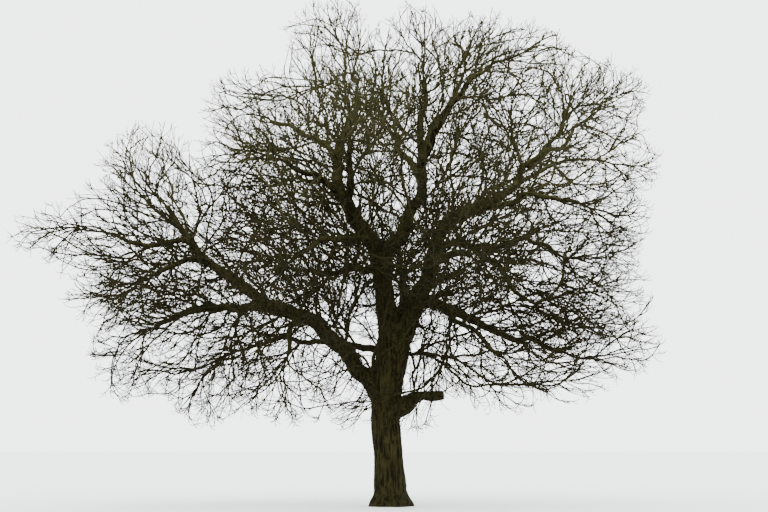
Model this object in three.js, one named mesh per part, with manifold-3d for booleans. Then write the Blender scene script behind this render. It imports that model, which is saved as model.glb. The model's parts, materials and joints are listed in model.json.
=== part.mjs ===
// A bare, broad-crowned oak in winter, about 14.8 m tall and 18.5 m across: a short leaning trunk
// that forks into two leaders, a long low bough on the left, a sawn stub on the right, and twig
// masses that carry the crown out to its tips. Millimetres, +Z up. The origin is the centre of the
// flat cut at ground level, +X is the right of the tree as it is usually seen, and +Y is its back.
import * as THREE from "three";
import Module from "manifold-3d";
import { mergeVertices } from "three/addons/utils/BufferGeometryUtils.js";

const wasm = await Module();
wasm.setup();

// Driving dimensions, in metres unless a name says otherwise.
const METRE_MM = 1000;
const GAP = 0.0003; // clearance between solids that rest on each other
const GROWTH = 0.00038; // added to a limb's radius where it cuts its clearance from another
const WAIST_RADIUS = 0.42; // trunk, between the root flare and the first bough
const FORK_RADIUS = 0.48; // trunk, just under the fork
const FOOT_RADIUS = 0.6; // trunk at the ground, between the root buttresses
const FLARE_HEIGHT = 0.34; // height over which the root flare fades
const BUTTRESS_DEPTH = 0.13;
const BUTTRESS_COUNT = 5;
const TRUNK_SIDES = 20;
const TRUNK_RINGS = 16;
const CROWN_CENTRE = [-0.6, 0, 8];

// Twigs: how a mass is grown from its stem.
const TWIG_TIP_RADIUS = 0.011;
const GOALS_PER_MASS = 22; // tips that a mass reaches for
const GOAL_TRIES = 8;
const STRIDE = 0.56; // length of one joint of growth
const ARRIVE = 0.6; // a twig this near its goal ends on it
const STEADINESS = 0.6; // how much a joint keeps its parent's direction
const BACKWARD_COST = 1.7; // how much further away a goal counts as that lies behind a joint
const PARALLEL = 0.94; // a joint doesn't grow again where the cosine to one of its own twigs is above this
const LEAST_AHEAD = 0.4; // least cosine between a joint's heading and the way to a goal that it grows to
const ONWARD = 0.15; // least cosine between a twig's heading and the way through the mass
const FAN = 0.3; // least cosine between the way to a goal and the way through the mass
const ROUNDS = 16;
const SPACE_MARGIN = 0.07; // kept between the spaces of two masses, as a share of their size
const LIMB_CLEARANCE = 0.09;
const PROBE = 0.12; // spacing of the places along a twig where its space is tested
const STEM_SIDES = 5;
const TWIG_SIDES = 3;

// The trunk's centre line from the ground to the top of the fork, with the radius at each place.
const TRUNK_LINE = [
  { at: [0, 0, 0], radius: FOOT_RADIUS },
  { at: [-0.01, 0, 0.45], radius: WAIST_RADIUS + 0.04 },
  { at: [-0.05, 0, 1.5], radius: WAIST_RADIUS },
  { at: [-0.11, 0, 2.5], radius: WAIST_RADIUS },
  { at: [-0.08, 0, 3.3], radius: WAIST_RADIUS + 0.02 },
  { at: [0.04, 0, 4.1], radius: FORK_RADIUS - 0.01 },
  { at: [0.14, 0, 4.75], radius: FORK_RADIUS },
  { at: [0.19, 0, 5.2], radius: FORK_RADIUS - 0.14 },
];

// The limbs, each a tapering tube through a few places: base and tip radius, then the places.
// A limb comes after the one that carries it, and starts on that one's centre line. One marked
// `after` goes on from another's tip, and the first stretch of one marked `forked` is the trunk's.
const LIMBS = [
  {
    name: "stub_right",
    radii: [0.27, 0.12],
    sides: 10,
    line: [[0.05, -0.05, 2.74], [0.3, -0.18, 2.78], [0.48, -0.28, 2.88], [0.62, -0.35, 3], [0.8, -0.41, 3.07], [1.5, -0.58, 3.1]],
  },
  {
    name: "bough_left",
    radii: [0.27, 0.18],
    sides: 9,
    line: [[-0.1, 0, 2.95], [-0.5, -0.1, 3.42], [-0.93, -0.3, 3.84], [-1.58, -0.6, 4.64], [-2, -0.8, 5.07], [-2.69, -1, 5.36], [-3.49, -1.1, 5.6]],
  },
  {
    name: "bough_left_arm",
    after: "bough_left",
    radii: [0.175, 0.07],
    sides: 8,
    line: [[-3.49, -1.1, 5.6], [-4.03, -1.1, 5.97], [-4.6, -0.98, 6.43], [-5.12, -0.8, 6.8], [-5.6, -0.63, 7.42], [-6.05, -0.4, 8.01], [-6.46, -0.2, 8.48]],
  },
  {
    name: "bough_left_reach",
    radii: [0.09, 0.05],
    sides: 6,
    line: [[-5.65, -0.62, 7.5], [-6.06, -0.8, 7.43], [-6.6, -1.2, 7.26], [-7.33, -1.6, 7.26], [-7.7, -1.7, 7.41]],
  },
  {
    name: "bough_left_low",
    radii: [0.14, 0.065],
    sides: 7,
    line: [[-3.35, -1.08, 5.56], [-3.93, -0.9, 5.54], [-4.6, -0.4, 5.57], [-5.34, 0, 5.66], [-6.02, 0.4, 5.41], [-6.81, 0.8, 5.15]],
  },
  {
    name: "bough_left_front",
    radii: [0.09, 0.05],
    sides: 6,
    line: [[-5.12, -0.8, 6.82], [-5.5, -1.8, 6.7], [-5.91, -2.8, 6.35], [-6.3, -3.5, 6.06]],
  },
  {
    name: "bough_under_left",
    radii: [0.11, 0.05],
    sides: 7,
    line: [[-0.1, 0.15, 4.4], [-0.81, 0.9, 4.52], [-1.29, 1.3, 4.66], [-1.96, 1.7, 4.78], [-2.54, 2, 4.72], [-3.38, 2.3, 4.92], [-3.97, 2.5, 4.69], [-4.46, 2.6, 4.56]],
  },
  {
    name: "bough_under_front",
    radii: [0.1, 0.05],
    sides: 6,
    line: [[-2.52, -0.95, 5.28], [-2.58, -1.8, 5.04], [-2.69, -2.6, 4.62], [-2.73, -3.1, 4.2]],
  },
  {
    name: "leader_left",
    forked: true,
    radii: [0.32, 0.08],
    sides: 9,
    line: [[0, 0, 4.75], [-0.11, 0, 5.69], [-0.16, -0.1, 6.4], [-0.24, -0.22, 7], [-0.62, -0.5, 7.68], [-1.11, -0.7, 8.28], [-1.38, -0.8, 8.85], [-1.5, -0.76, 9.7], [-1.27, -0.5, 10.48], [-1.04, -0.3, 11.17], [-0.99, -0.2, 11.76]],
  },
  {
    name: "leader_right",
    forked: true,
    radii: [0.29, 0.06],
    sides: 9,
    line: [[0.3, 0, 4.7], [0.69, -0.1, 5.59], [0.99, -0.2, 6.2], [1.17, -0.36, 6.95], [1.38, -0.53, 7.52], [1.93, -0.9, 8.14], [2.65, -1.1, 8.33], [3.12, -1.2, 8.62], [3.52, -1.2, 9.02], [3.9, -1.15, 9.62], [4.38, -1.25, 10.1]],
  },
  {
    name: "leader_second",
    radii: [0.24, 0.07],
    sides: 8,
    line: [[-0.19, -0.2, 6.75], [0.06, 0.1, 7.42], [0.41, 0.3, 7.86], [0.64, 0.5, 8.42], [0.89, 0.7, 9.1], [0.94, 0.9, 10.18], [0.91, 1, 10.96], [1.03, 1, 11.98], [1.06, 0.9, 12.6]],
  },
  {
    name: "bough_top_right",
    radii: [0.11, 0.06],
    sides: 6,
    line: [[0.93, 0.9, 10.2], [1.21, 1.2, 11.04], [1.56, 1.4, 11.58], [1.9, 1.5, 12.2], [2.12, 1.58, 12.65]],
  },
  {
    name: "bough_high_right",
    radii: [0.11, 0.055],
    sides: 6,
    line: [[0.93, 0.85, 9.95], [1.38, 0, 10.77], [1.78, -0.8, 11.41], [2.2, -1.5, 11.75], [2.66, -2.1, 11.98]],
  },
  {
    name: "bough_right_up",
    radii: [0.075, 0.045],
    sides: 6,
    line: [[3.52, -1.2, 9.02], [3.99, -0.8, 9.3], [4.44, -0.4, 9.56], [5.01, 0.2, 9.92], [5.8, 0.6, 10.07]],
  },
  {
    name: "bough_right_top",
    radii: [0.07, 0.045],
    sides: 6,
    line: [[3.88, -1.13, 9.55], [4.62, -0.5, 10.06], [5.2, 0.05, 10.45], [5.54, 0.5, 11], [5.95, 1, 11.5]],
  },
  {
    name: "bough_right_front",
    radii: [0.1, 0.05],
    sides: 6,
    line: [[2.65, -1.1, 8.33], [3.29, -1.8, 8.35], [3.7, -2.4, 8.46], [4.37, -3, 8.35], [4.98, -3.4, 8.04]],
  },
  {
    name: "bough_right_back",
    radii: [0.13, 0.055],
    sides: 7,
    line: [[1.16, -0.33, 6.95], [1.45, 0, 7.34], [2.16, 0.8, 7.61], [2.82, 1.4, 7.57], [3.56, 2, 7.69], [4.09, 2.4, 8.03], [4.59, 2.8, 7.81], [5.19, 3.2, 7.64]],
  },
  {
    name: "bough_right_low",
    radii: [0.1, 0.055],
    sides: 6,
    line: [[2.16, 0.8, 7.61], [2.46, 0.55, 7.4], [2.79, 0.2, 7.1], [3.15, -0.3, 6.61], [3.4, -0.8, 6.12], [3.78, -1.2, 5.7]],
  },
  {
    name: "bough_right_reach",
    radii: [0.17, 0.065],
    sides: 8,
    line: [[0.8, -0.12, 5.9], [1.45, 0.2, 5.71], [1.97, 0.3, 5.49], [2.52, 0.4, 5.24], [3.22, 0.5, 4.98], [4.13, 0.6, 4.7], [5, 0.6, 4.43]],
  },
  {
    name: "bough_right_hang",
    radii: [0.09, 0.045],
    sides: 6,
    line: [[1.56, 0.22, 5.67], [1.86, -0.6, 5.26], [2.22, -1.2, 4.93], [2.72, -1.9, 4.4], [2.98, -2.2, 4.02]],
  },
  {
    name: "bough_upper_left",
    radii: [0.1, 0.05],
    sides: 6,
    line: [[-1.5, -0.72, 9.83], [-1.88, -0.2, 10.28], [-2.29, 0.3, 10.68], [-3.14, 1.4, 11.3], [-3.6, 1.9, 11.6]],
  },
  {
    name: "bough_left_shoulder",
    radii: [0.11, 0.055],
    sides: 6,
    line: [[-1.25, -0.75, 8.56], [-1.71, -1.4, 8.99], [-2.16, -2, 9.1], [-2.57, -2.6, 9.2], [-2.88, -3, 9.25]],
  },
  {
    name: "bough_inner_back",
    radii: [0.11, 0.055],
    sides: 6,
    line: [[-0.19, -0.12, 6.62], [-1.06, 1, 6.89], [-1.71, 2, 6.85], [-2.45, 2.8, 7.03], [-3.11, 3.4, 7.2]],
  },
  {
    name: "bough_inner_front",
    radii: [0.12, 0.06],
    sides: 6,
    line: [[-0.5, -0.42, 7.5], [-1.17, -1.6, 7.4], [-1.76, -2.8, 7.16], [-2.23, -3.8, 6.75]],
  },
  {
    name: "bough_front_high",
    radii: [0.12, 0.07],
    sides: 6,
    line: [[-1.1, -0.7, 8.27], [-1.06, -1.6, 8.75], [-1.1, -2.4, 9.16], [-1.08, -3.2, 9.5]],
  },
  {
    name: "bough_front_right",
    radii: [0.13, 0.065],
    sides: 6,
    line: [[1.18, -0.37, 7], [1.37, -1.8, 6.89], [1.64, -3.2, 6.73], [1.89, -4.4, 6.56]],
  },
  {
    name: "bough_back_high",
    radii: [0.12, 0.065],
    sides: 6,
    line: [[0.92, 0.8, 9.6], [0.6, 2, 10.4], [0.3, 3, 11], [0.1, 3.9, 11.5]],
  },
  {
    name: "bough_back",
    radii: [0.18, 0.09],
    sides: 7,
    line: [[0.23, 0.05, 5], [0.4, 1.3, 5.9], [0.45, 2.9, 6.6], [0.35, 4.4, 7.2]],
  },
  {
    name: "bough_back_right",
    radii: [0.13, 0.065],
    sides: 6,
    line: [[1.35, -0.5, 7.45], [1.85, 1, 8.2], [2.47, 2.4, 9], [3.15, 3.5, 9.6]],
  },
];

// The twig masses: the bough whose tip carries the stem, then the middle and half sizes of the
// space that the mass keeps to. One hangs from the trunk itself, at the place given.
const MASSES = [
  { on: "bough_left_arm", centre: [-7, 0.2, 9.65], half: [1.45, 1.7, 1.35] },
  { on: "bough_left_reach", centre: [-8.9, -1.8, 7.4], half: [1.5, 1.5, 0.85] },
  { on: "bough_left_low", centre: [-7.4, 1, 4.35], half: [1.4, 1.7, 1.5] },
  { on: "bough_left_front", centre: [-6.95, -4.2, 5.6], half: [1.3, 1.6, 1.15] },
  { on: "bough_under_left", centre: [-5.4, 2.9, 3.5], half: [1.6, 1.6, 1.2] },
  { on: "bough_under_front", centre: [-2.6, -3.8, 3.2], half: [1.4, 1.5, 1] },
  { on: "leader_left", centre: [-1.7, -0.2, 13.2], half: [1.4, 1.6, 1.5] },
  { on: "leader_second", centre: [0.8, 0.8, 13.6], half: [1.3, 1.5, 1.15] },
  { on: "bough_top_right", centre: [2.6, 1.8, 13.6], half: [1.35, 1.6, 1.15] },
  { on: "bough_high_right", centre: [3.7, -3, 11.9], half: [1.35, 1.6, 1.1] },
  { on: "leader_right", centre: [5, -0.8, 11.6], half: [1.3, 1.5, 1.45] },
  { on: "bough_right_top", centre: [6.65, 1.7, 12.1], half: [1.25, 1.5, 1.25] },
  { on: "bough_right_up", centre: [6.75, 0.9, 10], half: [1.25, 1.5, 1.2] },
  { on: "bough_right_front", centre: [5.45, -4, 7.5], half: [1.3, 1.6, 1.2] },
  { on: "bough_right_back", centre: [6.5, 3.9, 7.6], half: [1.6, 1.7, 1.4] },
  { on: "bough_right_low", centre: [5.5, -1.9, 5.6], half: [1.6, 1.6, 1.15] },
  { on: "bough_right_reach", centre: [6.45, 0.7, 4.6], half: [1.6, 1.5, 1.05] },
  { on: "bough_right_hang", centre: [3.7, -2.8, 3.85], half: [1.4, 1.4, 0.85] },
  { on: "bough_upper_left", centre: [-4.4, 2.6, 12], half: [1.45, 1.7, 1.3] },
  { on: "bough_left_shoulder", centre: [-3.85, -4.1, 8.9], half: [1.35, 1.6, 1.35] },
  { on: "bough_inner_back", centre: [-4.5, 4.6, 8.2], half: [1.7, 1.8, 1.6] },
  { on: "bough_inner_front", centre: [-3, -5.4, 6.3], half: [1.5, 1.7, 1.35] },
  { on: "bough_front_high", centre: [-1, -4.7, 10.4], half: [1.7, 1.8, 1.45] },
  { on: "bough_front_right", centre: [2.4, -5.8, 6.7], half: [1.6, 1.7, 1.4] },
  { on: "bough_back_high", centre: [-0.3, 5.2, 12.4], half: [1.8, 1.9, 1.55] },
  { on: "bough_back", centre: [0.2, 6.4, 7.9], half: [1.9, 1.9, 1.8] },
  { on: "bough_back_right", centre: [4.4, 5, 10.6], half: [1.8, 1.8, 1.6] },
  {
    on: "trunk",
    root: { at: [0.42, 0.2, 4.28], heading: [0.86, 0.5, 0.12], radius: 0.045 },
    centre: [1.8, 1.3, 4],
    half: [1.15, 1.15, 1],
  },
];

const BARK_TRUNK = { color: 0x38342a, roughness: 0.95, metalness: 0 };
const BARK_BOUGH = { color: 0x3a352a, roughness: 0.93, metalness: 0 };
const BARK_TWIG = { color: 0x453d2f, roughness: 0.9, metalness: 0 };
const SAWN_FACE = { color: 0x3f392d, roughness: 0.95, metalness: 0 };

const vector = (place) => new THREE.Vector3(...place);

// Even random numbers from 0 to 1 that are the same on every run.
function seeded(seed) {
  const modulus = 2147483647;
  const multiplier = 16807;
  let state = (seed * 7919 + 12345) % modulus;
  return () => {
    state = (state * multiplier) % modulus;
    return state / modulus;
  };
}

// A centre line as places with radii and frames, one for each ring of a tube.
function ringsAlong(places, radii, count) {
  const curve = new THREE.CatmullRomCurve3(places, false, "centripetal");
  const rings = [];
  for (let i = 0; i <= count; i += 1) {
    const along = i / count;
    rings.push({ at: curve.getPoint(along), towards: curve.getTangent(along), radius: radii(along) });
  }
  return rings;
}

// Gives each ring a pair of directions across it that turn as little as possible along the line.
function frameRings(rings) {
  const start = rings[0].towards;
  let across = new THREE.Vector3(0, 0, 1).cross(start);
  if (across.lengthSq() < 0.01) across = new THREE.Vector3(0, 1, 0).cross(start);
  for (const ring of rings) {
    across = across.clone().addScaledVector(ring.towards, -across.dot(ring.towards)).normalize();
    ring.across = across;
    ring.other = ring.towards.clone().cross(across);
  }
  return rings;
}

// A closed tube on framed rings: a cylinder, or a cone where it ends in a point, bent along them.
function tube(rings, sides, pointed, bulge = () => 0) {
  const rows = rings.length - 1;
  const shape = pointed
    ? new THREE.ConeGeometry(1, 1, sides, rows)
    : new THREE.CylinderGeometry(1, 1, 1, sides, rows);
  const position = shape.getAttribute("position");
  for (let i = 0; i < position.count; i += 1) {
    const row = Math.round((position.getY(i) + 0.5) * rows);
    const ring = rings[row];
    const sideways = Math.hypot(position.getX(i), position.getZ(i));
    const angle = Math.atan2(position.getX(i), position.getZ(i));
    const radius = sideways < 1e-6 ? 0 : ring.radius + bulge(ring, angle);
    const place = ring.at
      .clone()
      .addScaledVector(ring.across, Math.cos(angle) * radius)
      .addScaledVector(ring.other, Math.sin(angle) * radius);
    position.setXYZ(i, place.x * METRE_MM, place.y * METRE_MM, place.z * METRE_MM);
  }
  return solidOf(shape);
}

// A three.js geometry as a solid that can be cut and joined.
function solidOf(geometry) {
  geometry.deleteAttribute("normal");
  geometry.deleteAttribute("uv");
  const merged = mergeVertices(geometry, 1e-3);
  return new wasm.Manifold(
    new wasm.Mesh({
      numProp: 3,
      vertProperties: merged.getAttribute("position").array,
      triVerts: new Uint32Array(merged.index.array),
    }),
  );
}

// A solid as a named mesh.
function meshOf(solid, name, finish) {
  const { vertProperties, triVerts, numProp } = solid.getMesh();
  const geometry = new THREE.BufferGeometry();
  geometry.setAttribute("position", new THREE.BufferAttribute(new Float32Array(vertProperties), numProp));
  geometry.setIndex(new THREE.BufferAttribute(new Uint32Array(triVerts), 1));
  geometry.computeVertexNormals();
  const mesh = new THREE.Mesh(geometry, new THREE.MeshStandardMaterial(finish));
  mesh.name = name;
  return mesh;
}

// The largest body of a solid: a cut can leave a crumb on the far side of the cutter.
function largestBody(solid) {
  return solid.decompose().reduce((best, body) => (body.volume() > best.volume() ? body : best));
}

// Radius of the root buttresses beyond the plain trunk, which fade out above the ground.
function buttress(ring, angle) {
  const fade = Math.exp(-ring.at.z / FLARE_HEIGHT);
  const lobe = 0.5 + 0.5 * Math.cos(BUTTRESS_COUNT * angle + 0.7 * Math.sin(2 * angle));
  return BUTTRESS_DEPTH * fade * lobe ** 2;
}

// The trunk's rings lie closer together near the ground, where the flare is.
function trunkRings(extra) {
  const curve = new THREE.CatmullRomCurve3(TRUNK_LINE.map((p) => vector(p.at)), false, "centripetal");
  const rings = [];
  for (let i = 0; i <= TRUNK_RINGS; i += 1) {
    const along = (i / TRUNK_RINGS) ** 1.35;
    const span = along * (TRUNK_LINE.length - 1);
    const below = Math.min(Math.floor(span), TRUNK_LINE.length - 2);
    const radius = THREE.MathUtils.lerp(
      TRUNK_LINE[below].radius,
      TRUNK_LINE[below + 1].radius,
      THREE.MathUtils.smootherstep(span - below, 0, 1),
    );
    rings.push({ at: curve.getPoint(along), towards: curve.getTangent(along), radius: radius + extra });
  }
  rings[0].towards = new THREE.Vector3(0, 0, 1);
  rings.at(-1).at.addScaledVector(rings.at(-1).towards, extra);
  return frameRings(rings);
}

// The trunk as one solid: its column, and the first stretch of each leader beyond the fork.
function trunkSolid(extra) {
  const starts = LIMBS.filter((limb) => limb.forked).map((limb) =>
    tube(limbRings(limb, extra).slice(0, 2), limb.sides, false),
  );
  return wasm.Manifold.union([tube(trunkRings(extra), TRUNK_SIDES, false, buttress), ...starts]);
}

// A limb's rings: about one for each place that its line goes through, and its even taper.
function limbRings(limb, extra) {
  const places = limb.line.map(vector);
  const [base, tip] = limb.radii;
  const count = Math.max(4, limb.line.length);
  const rings = ringsAlong(places, (along) => THREE.MathUtils.lerp(base, tip, along) + extra, count);
  rings.at(-1).at.addScaledVector(rings.at(-1).towards, extra);
  return frameRings(rings);
}

// A limb as one solid. One that goes on from another limb, or from the trunk's fork, starts face
// to face with it, a gap away.
function limbSolid(limb, extra) {
  const rings = limbRings(limb, extra).slice(limb.forked ? 1 : 0);
  if (limb.after) rings[0].towards = limbRings(limbNamed(limb.after), 0).at(-1).towards.clone();
  if (limb.after) frameRings(rings);
  if (limb.after || limb.forked) rings[0].at.addScaledVector(rings[0].towards, GAP - extra);
  return tube(rings, limb.sides, false);
}

const limbNamed = (name) => LIMBS.find((limb) => limb.name === name);

// Every limb, cut to the surface of the ones that were there before it, a gap away.
function buildLimbs() {
  const built = [];
  const cutters = new Map([["trunk", trunkSolid(GROWTH)]]);
  for (const limb of LIMBS) {
    let solid = limbSolid(limb, 0);
    for (const [owner, cutter] of cutters) {
      const facesIt = owner === limb.after || (limb.forked && owner === "trunk");
      if (!facesIt) solid = solid.subtract(cutter);
    }
    built.push({ limb, solid: largestBody(solid) });
    cutters.set(limb.name, limbSolid(limb, GROWTH));
  }
  return built;
}

// How far out in its space a place lies: 0 at the middle of the mass, 1 on its skin.
function shareOf(mass, place) {
  const [cx, cy, cz] = mass.centre;
  const [hx, hy, hz] = mass.half;
  return Math.hypot((place.x - cx) / hx, (place.y - cy) / hy, (place.z - cz) / hz);
}

// The stretches of all limbs and of the trunk, for keeping twigs clear of them.
const STRETCHES = [];
for (const [owner, rings] of [
  ["trunk", trunkRings(0)],
  ...LIMBS.map((limb) => [limb.name, limbRings(limb, 0)]),
]) {
  for (let i = 0; i + 1 < rings.length; i += 1)
    STRETCHES.push({ owner, line: new THREE.Line3(rings[i].at, rings[i + 1].at), radius: rings[i].radius });
}

// True where a place keeps clear of every limb. Close to its own root a stem is let through.
function clearOfLimbs(mass, place, root) {
  const nearRoot = place.distanceTo(root) < 0.45;
  const closest = new THREE.Vector3();
  return STRETCHES.every(({ owner, line, radius }) => {
    if (nearRoot && owner === mass.on) return true;
    line.closestPointToPoint(place, true, closest);
    return closest.distanceTo(place) > radius + LIMB_CLEARANCE;
  });
}

// True where a place is in the mass's own space, or further in than the place it is grown from.
function inSpace(mass, place, outermost = 1) {
  const own = shareOf(mass, place);
  if (own > outermost) return false;
  return MASSES.every((other) => other === mass || shareOf(other, place) > own + SPACE_MARGIN);
}

// True where a whole twig from one place to another may grow.
function mayGrow(mass, from, to, root) {
  const outermost = Math.max(1, shareOf(mass, from) + 0.02);
  const probes = Math.ceil(from.distanceTo(to) / PROBE);
  for (let i = 1; i <= probes; i += 1) {
    const place = from.clone().lerp(to, i / probes);
    if (!inSpace(mass, place, outermost) || !clearOfLimbs(mass, place, root)) return false;
  }
  return true;
}

// The places that a mass's twigs end on: its furthest reach first, then evenly spread ones that
// lie mostly towards its skin.
function goalsOf(mass, random, root) {
  const centre = vector(mass.centre);
  const outward = centre.clone().sub(vector(CROWN_CENTRE)).normalize();
  const onSkin = (direction, share) =>
    centre.clone().add(direction.clone().normalize().multiply(vector(mass.half)).multiplyScalar(share));
  const through = centre.clone().sub(root).normalize();
  const allowed = (place) =>
    place.clone().sub(root).normalize().dot(through) > FAN &&
    inSpace(mass, place) &&
    clearOfLimbs(mass, place, root);
  const goals = [];
  for (const lean of [0, 0.5, -0.5]) {
    const goal = onSkin(outward.clone().add(new THREE.Vector3(0, 0, lean)), 0.98);
    if (allowed(goal)) goals.push(goal);
  }
  for (let tries = 0; goals.length < GOALS_PER_MASS && tries < GOALS_PER_MASS * GOAL_TRIES; tries += 1) {
    let best = null;
    let bestRoom = 0;
    for (let i = 0; i < GOAL_TRIES; i += 1) {
      const tilt = 2 * random() - 1;
      const turn = 2 * Math.PI * random();
      const flat = Math.sqrt(1 - tilt * tilt);
      const share = 0.98 * random() ** 0.22;
      const goal = onSkin(new THREE.Vector3(flat * Math.cos(turn), flat * Math.sin(turn), tilt), share);
      const room = Math.min(9, ...goals.map((g) => g.distanceTo(goal)));
      if (room > bestRoom && allowed(goal)) {
        best = goal;
        bestRoom = room;
      }
    }
    if (best) goals.push(best);
  }
  return goals;
}

// How far a goal is from a joint, with the turn that it takes to grow there counted in. A joint
// can't turn back to a goal that lies beside or behind it.
function effort(joint, goal) {
  const way = goal.clone().sub(joint.at);
  const ahead = way.clone().normalize().dot(joint.towards);
  if (ahead < LEAST_AHEAD) return Infinity;
  return way.length() * (1 + BACKWARD_COST * (1 - ahead));
}

// Grows one joint towards goals, unless it has a twig that way already or has no room there.
function stepTowards(mass, joints, joint, pulling, random, root) {
  const pull = new THREE.Vector3();
  for (const goal of pulling) pull.add(goal.clone().sub(joint.at).normalize());
  pull.normalize().addScaledVector(joint.towards, STEADINESS).normalize();
  if (joint.ways.some((way) => way.dot(pull) > PARALLEL)) return false;
  const through = vector(mass.centre).sub(root).normalize();
  for (const wander of [0.12, 0.45, 0.8]) {
    const sway = new THREE.Vector3(random() - 0.5, random() - 0.5, random() - 0.5);
    const towards = pull.clone().addScaledVector(sway, 2 * wander).normalize();
    const at = joint.at.clone().addScaledVector(towards, STRIDE);
    if (towards.dot(through) < ONWARD || !mayGrow(mass, joint.at, at, root)) continue;
    joints.push(newJoint(at, towards, joint));
    joint.ways.push(pull);
    return true;
  }
  return false;
}

// A joint of growth, with the ways that it has grown so far.
function newJoint(at, towards, parent) {
  return { at, towards, parent, depth: parent ? parent.depth + 1 : 0, ways: [] };
}

// Grows a mass from its root: in each round every joint that is the best placed one for some
// goals steps towards them, and a joint that comes near a goal ends on it.
function growMass(mass, seed) {
  const random = seeded(seed);
  const carrier = mass.root ? null : limbRings(limbNamed(mass.on), 0).at(-1);
  const heading = mass.root ? vector(mass.root.heading).normalize() : carrier.towards.clone();
  const from = mass.root ? vector(mass.root.at) : carrier.at.clone();
  const radius = mass.root ? mass.root.radius : carrier.radius;
  const root = from.clone().addScaledVector(heading, GAP);
  const joints = [newJoint(root, heading, null)];
  joints.push(newJoint(root.clone().addScaledVector(heading, STRIDE * 0.6), heading, joints[0]));
  let goals = goalsOf(mass, random, root);
  for (let round = 0; round < ROUNDS && goals.length; round += 1) {
    const drawn = new Map();
    const left = [];
    for (const goal of goals) {
      const near = joints.slice(1).reduce((a, b) => (effort(a, goal) <= effort(b, goal) ? a : b));
      if (effort(near, goal) === Infinity) continue;
      if (near.at.distanceTo(goal) < ARRIVE) {
        const towards = goal.clone().sub(near.at).normalize();
        const through = vector(mass.centre).sub(root).normalize();
        if (towards.dot(through) > ONWARD && mayGrow(mass, near.at, goal, root))
          joints.push(newJoint(goal, towards, near));
        continue;
      }
      left.push(goal);
      if (!drawn.has(near)) drawn.set(near, []);
      drawn.get(near).push(goal);
    }
    goals = left;
    for (const [joint, pulling] of drawn) {
      const nearest = pulling.reduce((a, b) => (a.distanceTo(joint.at) <= b.distanceTo(joint.at) ? a : b));
      if (stepTowards(mass, joints, joint, pulling, random, root)) continue;
      if (stepTowards(mass, joints, joint, [nearest], random, root)) continue;
      goals = goals.filter((goal) => goal !== nearest);
    }
  }
  return { joints, radius };
}

// Counts the tips beyond each joint and keeps only the joints that lead to one.
function countTips(joints) {
  for (const joint of joints) {
    joint.children = [];
    joint.tips = 0;
  }
  for (const joint of joints) if (joint.parent) joint.parent.children.push(joint);
  for (const joint of [...joints].sort((a, b) => b.depth - a.depth)) {
    if (!joint.children.length) joint.tips = 1;
    if (joint.parent) joint.parent.tips += joint.tips;
  }
}

// The joints as twigs: each runs from a fork to a tip, along the child that bears the most.
function twigsOf(joints) {
  const twigs = [];
  const starts = [[joints[0]]];
  while (starts.length) {
    const twig = starts.pop();
    for (let joint = twig.at(-1); joint.children.length; joint = twig.at(-1)) {
      const [main, ...others] = [...joint.children].sort((a, b) => b.tips - a.tips);
      for (const other of others) starts.push([joint, other]);
      twig.push(main);
    }
    twigs.push(twig);
  }
  return twigs;
}

// A mass as one solid: every twig a pointed tube, thick where it bears many tips, fused.
function massSolid(mass, seed) {
  const { joints, radius } = growMass(mass, seed);
  countTips(joints);
  const swell = Math.log(radius / TWIG_TIP_RADIUS) / Math.log(joints[0].tips);
  const tubes = twigsOf(joints).map((twig, order) => {
    const first = twig[order ? 1 : 0].tips;
    const rings = twig.map((joint, i) => {
      const before = twig[Math.max(i - 1, 0)].at;
      const beyond = twig[Math.min(i + 1, twig.length - 1)].at;
      const towards = i || order ? beyond.clone().sub(before).normalize() : joint.towards.clone();
      const tips = Math.min(joint.tips, first);
      return { at: joint.at.clone(), towards, radius: TWIG_TIP_RADIUS * tips ** swell };
    });
    return tube(frameRings(rings), order ? TWIG_SIDES : STEM_SIDES, true);
  });
  const fused = wasm.Manifold.union(tubes);
  return largestBody(mass.root ? fused.subtract(trunkSolid(GROWTH)) : fused);
}

const tree = new THREE.Group();
tree.add(meshOf(trunkSolid(0), "trunk", BARK_TRUNK));
for (const { limb, solid } of buildLimbs())
  tree.add(meshOf(solid, limb.name, limb.name === "stub_right" ? SAWN_FACE : BARK_BOUGH));
MASSES.forEach((mass, index) => {
  const name = mass.on.replace(/^(bough|leader)/, "twigs").replace(/^trunk$/, "twigs_trunk_right");
  const bearer = mass.on.startsWith("leader") ? `${name}_leader` : name;
  tree.add(meshOf(massSolid(mass, index + 1), bearer, BARK_TWIG));
});

export default tree;
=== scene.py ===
"""Dresses a bare, broad-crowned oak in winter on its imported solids.

The limbs and the first twigs follow the same named sizes and the same seeded rule as the solids,
and the rule is then carried on to finer twigs and shoots. Metres, +Z up, in the solids' frame.
"""

import json
import logging
import math
from collections.abc import Callable
from dataclasses import dataclass, field
from enum import Enum
from typing import ClassVar

import bmesh
import bpy
import numpy as np
from bmesh.types import BMEdge, BMesh, BMVert
from bpy.types import Material, Mesh, Node, NodeSocket, NodeTree, Object
from mathutils import Matrix, Vector, kdtree

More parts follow.
